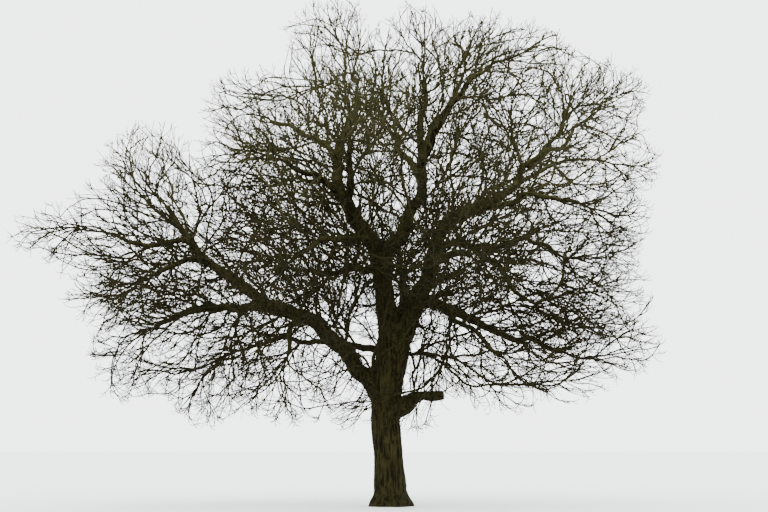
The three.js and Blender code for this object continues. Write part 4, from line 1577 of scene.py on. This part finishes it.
def bark_height(around: Array, run: Array, radius: Array, cell: float, seed: int) -> Array:
    """Relief of ridged bark.

    Args:
        around: The angle round the limb at each place.
        run: The length along the limb at each place.
        radius: The limb's plain radius at each place.
        cell: The width of a ridge, in metres.
        seed: Picks the pattern.

    Returns:
        Height at each place, 0 on the ridges and -1 in the deepest fissures.
    """
    wide = np.stack((np.cos(around) * radius, np.sin(around) * radius, run * RIDGE_STRETCH), axis=1) / cell
    bend = even_noise(wide * BEND_GRAIN, seed + 1)[:, None] * BEND_WAYS
    ridges = even_noise(wide + bend, seed + 2)
    cross = even_noise(wide * CRACK_GRAIN + bend, seed + 3)
    fissure = np.exp(-((ridges / FISSURE_WIDTH) ** 2))
    crack = np.exp(-((cross / CRACK_WIDTH) ** 2)) * CRACK_DEPTH
    return -np.clip(fissure + crack * (1 - fissure), 0, 1)


def finish_mesh(mesh_of: BMesh, name: str, finishes: list[Material]) -> Object:
    """Turns a bmesh into a smooth piece in the scene.

    Args:
        mesh_of: The bmesh, which is freed.
        name: The piece's name.
        finishes: Its materials.

    Returns:
        The new object.
    """
    mesh = bpy.data.meshes.new(name)
    mesh_of.to_mesh(mesh)
    mesh_of.free()
    return piece_of(mesh, finishes)


def wrapped_tube(course: Course, sides: int, swelling: Swelling) -> BMesh:
    """A closed tube along a course, from a grid that is wrapped round it.

    Args:
        course: The rings.
        sides: Faces round the tube.
        swelling: A function of angle, ring number and plain radius that gives what is added.

    Returns:
        The bmesh, with its seam and its ends closed.
    """
    tube = bmesh.new()
    steps = len(course.at) - 1
    bmesh.ops.create_grid(tube, x_segments=sides, y_segments=steps, size=0.5)
    flat = np.array([vert.co for vert in tube.verts])
    angle = (flat[:, 0] + 0.5) * 2 * math.pi
    ring = np.rint((flat[:, 1] + 0.5) * steps).astype(int)
    radius = course.radius[ring]
    radius = radius + swelling(angle, ring, radius)
    sideways = course.across[ring] * np.cos(angle)[:, None] + course.other[ring] * np.sin(angle)[:, None]
    move_to(tube.verts, course.at[ring] + sideways * radius[:, None])
    bmesh.ops.remove_doubles(tube, verts=tube.verts, dist=WELD)
    rims = [edge for edge in tube.edges if edge.is_boundary]
    caps = bmesh.ops.holes_fill(tube, edges=rims, sides=0)["faces"]
    bmesh.ops.poke(tube, faces=caps)
    bmesh.ops.recalc_face_normals(tube, faces=tube.faces)
    return tube


@dataclass
class LimbBark:
    """The bark-covered limbs beyond the trunk, each a tapering tube with relief."""

    finish: Material
    ring_share: float = 0.16
    rings_apart: tuple[float, float] = (0.022, 0.042)
    side_density: float = 1.15
    side_range: tuple[int, int] = (18, 56)
    depth_share: float = 0.095
    most_depth: float = 0.017
    cell_share: float = 0.3
    cell_range: tuple[float, float] = (0.03, 0.07)
    lump_share: float = 0.05
    lump_stretch: float = 0.7
    lump_size: float = 1.3
    least_lump: float = 0.05
    collar_share: float = 0.35
    collar_length: float = 1.1
    collar_least: float = 0.12
    plain_tip: float = 0.4

    def build(self, limb: LimbSize, seed: int) -> Object:
        """Makes one limb.

        Args:
            limb: The limb.
            seed: Picks its lumps and fissures.

        Returns:
            The new piece.
        """
        base = limb.radii[0]
        spacing = within(base * self.ring_share, self.rings_apart)
        course = fine_course(limb, spacing)
        sides = int(within(2 * math.pi * base / spacing * self.side_density, self.side_range))
        tube = wrapped_tube(course, sides, lambda *place: self.swelling(limb, course, seed, *place))
        piece = finish_mesh(tube, f"bark_{limb.name}", [self.finish])
        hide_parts(limb.name)
        return piece

    def swelling(self, limb: LimbSize, course: Course, seed: int, angle: Array, ring: Array,
            radius: Array) -> Array:
        """What lumps, collar and fissures add to the plain radius.

        Args:
            limb: The limb.
            course: Its rings.
            seed: Picks the lumps and fissures.
            angle: The angle round the limb at each place.
            ring: The ring's number at each place.
            radius: The plain radius at each place.

        Returns:
            The addition at each place.
        """
        run = course.run[ring]
        around = np.stack((np.cos(angle) * radius, np.sin(angle) * radius, run * self.lump_stretch), axis=1)
        size = radius[:, None] * self.lump_size + self.least_lump
        lumps = even_noise(around / size, seed) * self.lump_share * radius
        depth = np.minimum(radius * self.depth_share, self.most_depth)
        cell = within(limb.radii[0] * self.cell_share, self.cell_range)
        relief = bark_height(angle, run, radius, cell, seed * 7) * depth
        collar = 0.0
        if not limb.after and not limb.forked and limb.name != STUB:
            reach = limb.radii[0] * self.collar_length + self.collar_least
            collar = self.collar_share * radius * np.exp(-((run / reach) ** 2))
        fade = np.clip((course.run[-1] - run) / self.plain_tip, 0, 1)
        return lumps * fade + relief * fade + collar


@dataclass(frozen=True)
class Beginning:
    """The first share of a limb that is grown together with the trunk, and how much its root swells."""

    limb: str
    share: float
    swell: float


BEGINNINGS = (
    Beginning("leader_left", 0.17, 0.22),
    Beginning("leader_right", 0.17, 0.22),
    Beginning("bough_left", 0.24, 0.42),
    Beginning(STUB, 0.46, 0.1),
    Beginning("bough_under_left", 0.14, 0.42),
    Beginning("bough_back", 0.16, 0.42),
)


@dataclass
class TrunkBark:
    """The trunk, grown together with the beginnings of its two leaders and of its boughs."""

    finish: Material
    courses: list[Course] = field(init=False)
    rings: int = 60
    sides: int = 48
    below: float = 0.12
    limb_spacing: float = 0.05
    tuck: float = 0.12
    voxel: float = 0.0185
    smoothings: int = 6
    depth: float = 0.032
    cell: float = 0.085
    limb_cell_share: float = 0.8
    blend_reach: float = 0.05
    lump_depth: float = 0.022
    lump_grain: Triple = (3.2, 3.2, 1.5)
    fine_depth: float = 0.003
    fine_grain: Triple = (26, 26, 14)
    first_seed: int = 40

    def __post_init__(self) -> None:
        """Works out the rings of the trunk and of each limb's beginning."""
        self.courses = [trunk_course(self.rings, self.below)]
        for beginning in BEGINNINGS:
            course = fine_course(limb_named(beginning.limb), self.limb_spacing)
            last = int(np.searchsorted(course.run, course.run[-1] * beginning.share))
            part = course.part(0, last + 1)
            along = part.run / part.run[-1]
            part.radius = part.radius * (1 + beginning.swell * (1 - along) ** 2 - self.tuck * along**6)
            self.courses.append(part)

    def build(self) -> Object:
        """Makes the trunk's piece: tubes joined by a voxel remesh, smoothed, then given relief.

        Returns:
            The new piece.
        """
        skin = self.grown_together()
        for _ in range(self.smoothings):
            bmesh.ops.smooth_vert(skin, verts=skin.verts, factor=0.5, use_axis_x=True, use_axis_y=True,
                use_axis_z=True)
        self.carve(skin)
        cut = bmesh.ops.bisect_plane(skin, geom=skin.verts[:] + skin.edges[:] + skin.faces[:], dist=1e-6,
            plane_co=(0, 0, 0), plane_no=(0, 0, -1), clear_outer=True)
        rim = [part for part in cut["geom_cut"] if isinstance(part, BMEdge)]
        bmesh.ops.holes_fill(skin, edges=rim, sides=0)
        bmesh.ops.recalc_face_normals(skin, faces=skin.faces)
        piece = finish_mesh(skin, "bark_trunk", [self.finish])
        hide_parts("trunk")
        return piece

    def grown_together(self) -> BMesh:
        """Joins the tubes of all courses into one skin.

        Returns:
            The skin, still plain.
        """
        joined = bmesh.new()
        for number, course in enumerate(self.courses):
            plain = wrapped_tube(course, self.sides, self.no_swelling if number else self.root_swelling)
            mesh = bpy.data.meshes.new("joined")
            plain.to_mesh(mesh)
            plain.free()
            joined.from_mesh(mesh)
            bpy.data.meshes.remove(mesh)
        rough = finish_mesh(joined, "trunk_rough", [])
        remesh = rough.modifiers.new("grown_together", "REMESH")
        remesh.mode = "VOXEL"
        remesh.voxel_size = self.voxel
        evaluated = rough.evaluated_get(bpy.context.evaluated_depsgraph_get())
        skin = bmesh.new()
        skin.from_mesh(evaluated.to_mesh())
        evaluated.to_mesh_clear()
        bpy.data.objects.remove(rough)
        return skin

    def root_swelling(self, angle: Array, ring: Array, radius: Array) -> Array:
        """The root buttresses, which do not depend on the plain radius."""
        return buttress(self.courses[0].at[ring, 2], angle)

    @staticmethod
    def no_swelling(angle: Array, ring: Array, radius: Array) -> Array:
        """Nothing added."""
        return np.zeros(len(radius))

    def carve(self, skin: BMesh) -> None:
        """Moves the skin in along its normals where the bark is fissured, and makes it lumpy.

        Args:
            skin: The skin of the trunk.
        """
        skin.normal_update()
        place = np.array([vert.co for vert in skin.verts])
        normal = np.array([vert.normal for vert in skin.verts])
        heights, nearness = [], []
        for number, course in enumerate(self.courses):
            gap = np.full(len(place), np.inf)
            ring = np.zeros(len(place), int)
            for i, at in enumerate(course.at):
                far = np.linalg.norm(place - at, axis=1)
                closer = far < gap
                gap[closer] = far[closer]
                ring[closer] = i
            offset = place - course.at[ring]
            frames = (course.across[ring], course.other[ring], course.towards[ring])
            x, y, along = (np.einsum("ij,ij->i", offset, way) for way in frames)
            nominal = np.full(len(place), float(course.radius.mean()))
            cell = self.cell * (self.limb_cell_share if number else 1)
            run = course.run[ring] + along
            heights.append(bark_height(np.arctan2(y, x), run, nominal, cell, self.first_seed + number))
            nearness.append(np.hypot(x, y) - course.radius[ring] + np.abs(along) * 0.5)
        heights, nearness = np.array(heights), np.array(nearness)
        weight = np.exp(-(nearness - nearness.min(axis=0)) / self.blend_reach)
        relief = (heights * weight).sum(axis=0) / weight.sum(axis=0)
        lumps = even_noise(place * self.lump_grain, 5) * self.lump_depth
        fine = even_noise(place * self.fine_grain, 6) * self.fine_depth
        move = relief * self.depth + lumps + fine
        move_to(skin.verts, place + normal * move[:, None])


@dataclass
class SawnEnd:
    """The stub's sawn face, weathered, a little cupped and cracked."""

    finish: Material
    radius_share: float = 0.9
    sides: int = 56
    rings: int = 9
    thickness: float = 0.02
    tucked_in: float = 0.008
    cupped: float = 0.006
    ring_share: float = 0.1
    crack_depth: float = 0.018
    crack_width: float = 0.16
    crack_turns: float = 1.5
    crack_start: float = 0.6
    rough_depth: float = 0.0015
    rough_grain: float = 60

    def build(self) -> Object:
        """Makes the face, just proud of the end of the stub's bark.

        Returns:
            The new piece.
        """
        stub = fine_course(LIMBS[0], STUB_SPACING)
        radius = float(stub.radius[-1]) * self.radius_share
        disc = bmesh.new()
        bmesh.ops.create_circle(disc, cap_ends=True, segments=self.sides, radius=radius)
        face = disc.faces[:]
        for _ in range(self.rings):
            bmesh.ops.inset_region(disc, faces=face, thickness=radius * self.ring_share, depth=0.0)
        bmesh.ops.poke(disc, faces=face)
        whole = bmesh.ops.extrude_face_region(disc, geom=disc.faces[:])
        raised = [part for part in whole["geom"] if isinstance(part, BMVert)]
        bmesh.ops.translate(disc, verts=raised, vec=(0, 0, self.thickness))
        top = np.array([vert.co for vert in raised])
        away = np.hypot(top[:, 0], top[:, 1]) / radius
        angle = np.arctan2(top[:, 1], top[:, 0])
        star = np.sin(angle * self.crack_turns + self.crack_start) / self.crack_width
        crack = np.exp(-(star**2)) * (1 - away) * self.crack_depth
        rough = even_noise(top * self.rough_grain, 3) * self.rough_depth
        for vert, drop in zip(raised, self.cupped * (1 - away**2) + crack - rough):
            vert.co.z -= drop
        turn = Matrix((stub.across[-1], stub.other[-1], stub.towards[-1])).transposed().to_4x4()
        place = Matrix.Translation(Vector(stub.at[-1] - stub.towards[-1] * self.tucked_in)) @ turn
        bmesh.ops.transform(disc, matrix=place, verts=disc.verts)
        bmesh.ops.recalc_face_normals(disc, faces=disc.faces)
        return finish_mesh(disc, "stub_sawn_face", [self.finish])


@dataclass(frozen=True)
class BarkFinish:
    """Colours and grain of fissured bark."""

    name: str
    ridge: Triple
    fissure: Triple
    moss_and_lit_top: Triple
    grain: float
    stretch: float
    moss_and_lit_top_cover: float
    relief: float
    shade: float = 0.62
    mottle_share: float = 0.4
    relief_depth: float = 0.02


@dataclass(frozen=True)
class TwigFinish:
    """Plain bark of twigs with a slight speckle."""

    name: str
    colour: Triple
    speckle: Triple
    roughness: float
    grain: float = 14.0


@dataclass(frozen=True)
class SawnFinish:
    """Colours and rings of weathered end grain, and of the stains on it."""

    name: str = "sawn_end_grain"
    dark_wood: Triple = (0.07, 0.062, 0.046)
    pale_wood: Triple = (0.17, 0.15, 0.112)
    unstained: Triple = (1.0, 1.0, 1.0)
    stained: Triple = (0.55, 0.55, 0.5)
    stain_grain: float = 24.0
    ring_scale: float = 38.0


# The bark and twig colours are far darker than real bark: partly the tree's dark, wet bark, partly painted
# shade, so that the tree stays as dark against the pale sky as a tree lit from behind.
TRUNK_FINISH = BarkFinish("trunk_bark", ridge=(0.0225, 0.0195, 0.0058), fissure=(0.004, 0.0035, 0.0012),
    moss_and_lit_top=(0.02, 0.022, 0.005), grain=15.0, stretch=0.13, moss_and_lit_top_cover=0.9, relief=0.6)
# The boughs' moss colour is paler than their bark: moss, and painted light on the lit upper sides.
BOUGH_FINISH = BarkFinish("bough_bark", ridge=(0.0165, 0.0145, 0.0045), fissure=(0.0035, 0.003, 0.001),
    moss_and_lit_top=(0.052, 0.051, 0.014), grain=20.0, stretch=0.26, moss_and_lit_top_cover=0.8, relief=0.5)
# One finish for each kind of twig, in the order of the kinds. The two high ones are paler copies of the low
# ones: painted haze of the upper crown.
TWIG_FINISHES = (
    TwigFinish("old_twig_bark", (0.017, 0.015, 0.0045), (0.008, 0.007, 0.002), 0.85),
    TwigFinish("young_shoot_bark", (0.022, 0.0185, 0.006), (0.011, 0.0095, 0.003), 0.8),
    TwigFinish("high_old_twig_painted_haze", (0.034, 0.032, 0.011), (0.017, 0.016, 0.0055), 0.85),
    TwigFinish("high_young_shoot_painted_haze", (0.05, 0.045, 0.018), (0.026, 0.024, 0.009), 0.8),
)
SAWN_FINISH = SawnFinish()


def rgba(colour: Triple) -> tuple[float, float, float, float]:
    """An opaque colour."""
    return (*colour, 1.0)


class NodeSheet:
    """Adds, sets and joins the nodes of one material or of one shared effect."""

    def __init__(self, tree: NodeTree) -> None:
        """Keeps the node tree."""
        self.tree = tree

    def put(self, kind: str, inputs: dict[str | int, object] | None = None, **choices: object) -> object:
        """Adds one node.

        Args:
            kind: Its type.
            inputs: For each of its sockets, a value or the output that feeds it.
            choices: Its own settings, such as the operation.

        Returns:
            The node's outputs.
        """
        node = self.tree.nodes.new(f"ShaderNode{kind}")
        for name, choice in choices.items():
            setattr(node, name, choice)
        self.feed(node, inputs or {})
        return node.outputs

    def feed(self, node: Node, inputs: dict[str | int, object]) -> None:
        """Sets or joins a node's sockets.

        Args:
            node: The node.
            inputs: For each socket, a value or the output that feeds it.
        """
        for label, value in inputs.items():
            if isinstance(value, NodeSocket):
                self.tree.links.new(value, node.inputs[label])
            else:
                node.inputs[label].default_value = value


class Effects:
    """Shader node groups that more than one finish uses."""

    def __init__(self) -> None:
        """Builds each group once."""
        self.fissures = self.fissure_group()
        self.moss_and_lit_top = self.moss_and_lit_top_group()
        self.speckle = self.speckle_group()

    @staticmethod
    def new_group(name: str, inputs: dict[str, tuple[str, float | None]], outputs: tuple[str, ...],
            kind: str = "Float") -> tuple[NodeSheet, object, Node]:
        """Starts a group with its sockets.

        Args:
            name: The group's name.
            inputs: For each input, its kind of socket and its value.
            outputs: The names of the outputs.
            kind: The outputs' kind of socket.

        Returns:
            The sheet for the group's nodes, what the group is given, and its output node.
        """
        group = bpy.data.node_groups.new(name, "ShaderNodeTree")
        add = group.interface.new_socket
        for label, (given_kind, value) in inputs.items():
            socket = add(name=label, in_out="INPUT", socket_type=f"NodeSocket{given_kind}")
            if value is not None:
                socket.default_value = value
        for label in outputs:
            add(name=label, in_out="OUTPUT", socket_type=f"NodeSocket{kind}")
        given = group.nodes.new("NodeGroupInput").outputs
        return NodeSheet(group), given, group.nodes.new("NodeGroupOutput")

    def fissure_group(self) -> NodeTree:
        """Long ridges with dark fissures between them: a mask and a height.

        Returns:
            The group.
        """
        sheet, given, out = self.new_group("bark_fissures",
            {"Vector": ("Vector", None), "Grain": ("Float", 10.0), "Stretch": ("Float", 0.25)},
            ("Ridge", "Height"))
        shape = sheet.put("CombineXYZ", {"X": 1.0, "Y": 1.0, "Z": given["Stretch"]})
        scaled = sheet.put("VectorMath", {0: given["Vector"], 1: shape["Vector"]}, operation="MULTIPLY")
        broad = sheet.put("TexNoise", {"Vector": scaled["Vector"], "Scale": given["Grain"], "Detail": 5.0,
            "Roughness": 0.62, "Distortion": 0.5})
        ridge = sheet.put("MapRange", {"Value": broad["Fac"], "From Min": 0.4, "From Max": 0.54},
            interpolation_type="SMOOTHSTEP")
        finer = sheet.put("Math", {0: given["Grain"], 1: 7.0}, operation="MULTIPLY")
        fine = sheet.put("TexNoise", {"Vector": scaled["Vector"], "Scale": finer["Value"], "Detail": 3.0})
        height = sheet.put("Math", {0: fine["Fac"], 1: 0.35, 2: ridge["Result"]}, operation="MULTIPLY_ADD")
        sheet.feed(out, {"Ridge": ridge["Result"], "Height": height["Value"]})
        return sheet.tree

    def moss_and_lit_top_group(self) -> NodeTree:
        """A patchy cover on the sides that face up, more so high in the crown: moss, and on the boughs,
        where it is paler than the bark, also painted light on the lit upper sides.

        Returns:
            The group.
        """
        sheet, given, out = self.new_group("moss_and_lit_top_cover",
            {"Vector": ("Vector", None), "Normal": ("Vector", None), "Cover": ("Float", 0.5)}, ("MossAndLitTop",))
        facing = sheet.put("SeparateXYZ", {"Vector": given["Normal"]})
        upward = sheet.put("MapRange", {"Value": facing["Z"], "From Min": -0.5, "From Max": 0.9})
        patches = sheet.put("TexNoise", {"Vector": given["Vector"], "Scale": 2.6, "Detail": 5.0})
        patchy = sheet.put("MapRange", {"Value": patches["Fac"], "From Min": 0.3, "From Max": 0.68})
        place = sheet.put("SeparateXYZ", {"Vector": given["Vector"]})
        higher = sheet.put("MapRange",
            {"Value": place["Z"], "From Min": 4.0, "From Max": 12.0, "To Min": 0.2, "To Max": 2.2})
        gathered = sheet.put("Math", {0: upward["Result"], 1: higher["Result"]}, operation="MULTIPLY")
        both = sheet.put("Math", {0: gathered["Value"], 1: patchy["Result"]}, operation="MULTIPLY")
        cover = sheet.put("Math", {0: both["Value"], 1: given["Cover"]}, operation="MULTIPLY",
            use_clamp=True)
        sheet.feed(out, {"MossAndLitTop": cover["Value"]})
        return sheet.tree

    def speckle_group(self) -> NodeTree:
        """Small even mottling between two colours.

        Returns:
            The group.
        """
        sheet, given, out = self.new_group("speckle",
            {"Vector": ("Vector", None), "Light": ("Color", None), "Dark": ("Color", None),
                "Grain": ("Float", 20.0)}, ("Color",), "Color")
        mottle = sheet.put("TexNoise", {"Vector": given["Vector"], "Scale": given["Grain"], "Detail": 3.0})
        sharp = sheet.put("MapRange", {"Value": mottle["Fac"], "From Min": 0.35, "From Max": 0.65})
        mix = sheet.put("Mix", {"Factor": sharp["Result"], 6: given["Dark"], 7: given["Light"]},
            data_type="RGBA")
        sheet.feed(out, {"Color": mix[2]})
        return sheet.tree


class Finishes:
    """The materials of the tree and of the floor."""

    MATT_SPECULAR = 0.05

    def __init__(self, effects: Effects) -> None:
        """Builds every material."""
        self.effects = effects
        self.trunk = self.bark(TRUNK_FINISH)
        self.bough = self.bark(BOUGH_FINISH)
        self.twigs = [self.twig(finish) for finish in TWIG_FINISHES]
        self.sawn = self.end_grain(SAWN_FINISH)
        self.floor = self.plain("pale_floor", (0.84, 0.85, 0.85), 0.95)

    @staticmethod
    def start(name: str) -> tuple[Material, NodeSheet, Node, NodeSocket]:
        """Starts a material.

        Args:
            name: Its name.

        Returns:
            The material, the sheet for its nodes, its shader, and the Object coordinates.
        """
        material = bpy.data.materials.new(name)
        material.use_nodes = True
        sheet = NodeSheet(material.node_tree)
        shader = material.node_tree.nodes["Principled BSDF"]
        return material, sheet, shader, sheet.put("TexCoord")["Object"]

    def speckled(self, sheet: NodeSheet, place: NodeSocket, grain: float, light: Triple,
            dark: Triple) -> NodeSocket:
        """Puts the speckle between two colours into a material, and gives its colour."""
        inputs = {"Vector": place, "Grain": grain, "Light": rgba(light), "Dark": rgba(dark)}
        return sheet.put("Group", inputs, node_tree=self.effects.speckle)["Color"]

    def plain(self, name: str, colour: Triple, roughness: float) -> Material:
        """A plain matt material.

        Args:
            name: Its name.
            colour: Its one colour.
            roughness: How matt it is.

        Returns:
            The material.
        """
        material, sheet, shader, _ = self.start(name)
        sheet.feed(shader, {"Base Color": rgba(colour), "Roughness": roughness, "Specular IOR Level": 0.2})
        return material

    def bark(self, finish: BarkFinish) -> Material:
        """Fissured bark with moss on the sides that face up; on the boughs the moss is paler than the bark,
        so it is also painted light on their upper sides.

        Args:
            finish: The bark's colours and grain.

        Returns:
            The material.
        """
        material, sheet, shader, place = self.start(finish.name)
        fissures = sheet.put("Group", {"Grain": finish.grain, "Stretch": finish.stretch, "Vector": place},
            node_tree=self.effects.fissures)
        shaded = tuple(part * finish.shade for part in finish.ridge)
        mottle = self.speckled(sheet, place, finish.grain * finish.mottle_share, finish.ridge, shaded)
        bark = sheet.put("Mix", {"Factor": fissures["Ridge"], 6: rgba(finish.fissure), 7: mottle},
            data_type="RGBA")
        normal = sheet.put("NewGeometry")["Normal"]
        moss_and_lit_top = sheet.put("Group", {"Vector": place, "Normal": normal, "Cover": finish.moss_and_lit_top_cover},
            node_tree=self.effects.moss_and_lit_top)
        # The cover's colour: moss, and on the boughs also painted light on the upper sides.
        moss_and_lit_top_colour = sheet.put("Mix", {"Factor": moss_and_lit_top["MossAndLitTop"], 6: bark[2], 7: rgba(finish.moss_and_lit_top)},
            data_type="RGBA")
        matt = sheet.put("MapRange", {"Value": fissures["Ridge"], "To Min": 0.98, "To Max": 0.82})
        bump = sheet.put("Bump",
            {"Height": fissures["Height"], "Strength": finish.relief, "Distance": finish.relief_depth})
        sheet.feed(shader, {"Base Color": moss_and_lit_top_colour[2], "Roughness": matt["Result"], "Normal": bump["Normal"],
            "Specular IOR Level": self.MATT_SPECULAR})
        return material

    def twig(self, finish: TwigFinish) -> Material:
        """Twig bark: one plain colour with a slight speckle.

        Args:
            finish: The twig's colours.

        Returns:
            The material.
        """
        material, sheet, shader, place = self.start(finish.name)
        mottle = self.speckled(sheet, place, finish.grain, finish.colour, finish.speckle)
        sheet.feed(shader, {"Base Color": mottle, "Roughness": finish.roughness,
            "Specular IOR Level": self.MATT_SPECULAR})
        return material

    def end_grain(self, finish: SawnFinish) -> Material:
        """Weathered end grain: grey-brown rings round the heart of the stub.

        Args:
            finish: The wood's colours and rings.

        Returns:
            The material.
        """
        material, sheet, shader, place = self.start(finish.name)
        stub = fine_course(LIMBS[0], STUB_SPACING)
        turn = Matrix((stub.across[-1], stub.other[-1], stub.towards[-1])).transposed()
        centred = sheet.put("Mapping",
            {"Vector": place, "Location": tuple(stub.at[-1]), "Rotation": turn.to_euler()},
            vector_type="TEXTURE")
        rings = sheet.put("TexWave", {"Vector": centred["Vector"], "Scale": finish.ring_scale,
            "Distortion": 2.4, "Detail": 3.0}, wave_type="RINGS", rings_direction="Z")
        wood = sheet.put("Mix",
            {"Factor": rings["Fac"], 6: rgba(finish.dark_wood), 7: rgba(finish.pale_wood)},
            data_type="RGBA")
        stains = self.speckled(sheet, place, finish.stain_grain, finish.unstained, finish.stained)
        stained = sheet.put("Mix", {"Factor": 1.0, 6: wood[2], 7: stains}, data_type="RGBA",
            blend_type="MULTIPLY")
        bump = sheet.put("Bump", {"Height": rings["Fac"], "Strength": 0.5, "Distance": 0.003})
        sheet.feed(shader, {"Base Color": stained[2], "Roughness": 0.9, "Normal": bump["Normal"]})
        return material


@dataclass(frozen=True)
class Studio:
    """A plain pale floor and sky, soft light, and the camera at the photograph's angle."""

    camera_at: Triple = (-0.17, -40.0, 1.65)
    pitch_degrees: float = 7.774
    lens: float = 65.58
    sensor_width: float = 36.0
    sight: float = 1000.0
    sky: Triple = (0.9, 0.92, 0.93)
    sky_strength: float = 4.5
    sun_strength: float = 0.4
    sun_width_degrees: float = 40
    sun_turn_degrees: Triple = (38, -12, -24)
    floor_half: float = 400.0
    floor_drop: float = 0.004

    def build(self, finish: Material) -> None:
        """Makes the floor, the light and the camera.

        Args:
            finish: The floor's material.
        """
        scene = bpy.context.scene
        sheet = bmesh.new()
        bmesh.ops.create_grid(sheet, x_segments=8, y_segments=8, size=self.floor_half)
        bmesh.ops.translate(sheet, verts=sheet.verts, vec=(0, 0, -self.floor_drop))
        finish_mesh(sheet, "floor", [finish])
        world = bpy.data.worlds.new("pale_sky")
        world.use_nodes = True
        background = world.node_tree.nodes["Background"]
        background.inputs["Color"].default_value = rgba(self.sky)
        background.inputs["Strength"].default_value = self.sky_strength
        scene.world = world
        sun = bpy.data.lights.new("soft_light", "SUN")
        sun.energy = self.sun_strength
        sun.angle = math.radians(self.sun_width_degrees)
        lamp = bpy.data.objects.new("soft_light", sun)
        lamp.rotation_euler = tuple(math.radians(turn) for turn in self.sun_turn_degrees)
        scene.collection.objects.link(lamp)
        lens = bpy.data.cameras.new("camera")
        lens.lens = self.lens
        lens.sensor_width = self.sensor_width
        lens.clip_end = self.sight
        camera = bpy.data.objects.new("camera", lens)
        camera.location = self.camera_at
        camera.rotation_euler = (math.radians(90 + self.pitch_degrees), 0, 0)
        scene.collection.objects.link(camera)
        scene.camera = camera


def place_piece(piece: Object) -> None:
    """Lets a piece ride on the tree's one body, and reports it.

    Args:
        piece: The piece.
    """
    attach(piece, "root")
    triangles = sum(len(polygon.vertices) - 2 for polygon in piece.data.polygons)
    log.info("%s: %d triangles", piece.name, triangles)


def build_limbs(finishes: Finishes) -> None:
    """Builds the trunk, the boughs and the stub's sawn face.

    Args:
        finishes: The tree's materials.
    """
    place_piece(TrunkBark(finishes.trunk).build())
    limb_bark = LimbBark(finishes.bough)
    for number, limb in enumerate(LIMBS):
        place_piece(limb_bark.build(limb, number + 1))
    place_piece(SawnEnd(finishes.sawn).build())


def build_twigs(finishes: Finishes) -> None:
    """Grows the crown and builds one piece of twigs for each mass.

    Args:
        finishes: The tree's materials.
    """
    space = CrownSpace()
    net = TwigNet(space)
    net.grow()
    twigs = Twigs(net, TwigSizes())
    runs = twigs.runs()
    shoots = twigs.shoots(space)
    for index, mass in enumerate(MASSES):
        mesh = TwigMesh()
        for run in runs.get(index, []):
            mesh.add(run)
        mesh.add(shoots[index])
        piece = mesh.build(f"fine_{mass.node}", finishes.twigs)
        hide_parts(mass.node)
        place_piece(piece)


def main() -> None:
    """Builds the whole tree and its studio."""
    logging.basicConfig(level=logging.INFO, format="%(message)s", force=True)
    finishes = Finishes(Effects())
    Studio().build(finishes.floor)
    build_limbs(finishes)
    build_twigs(finishes)


if __name__ == "__main__":
    main()
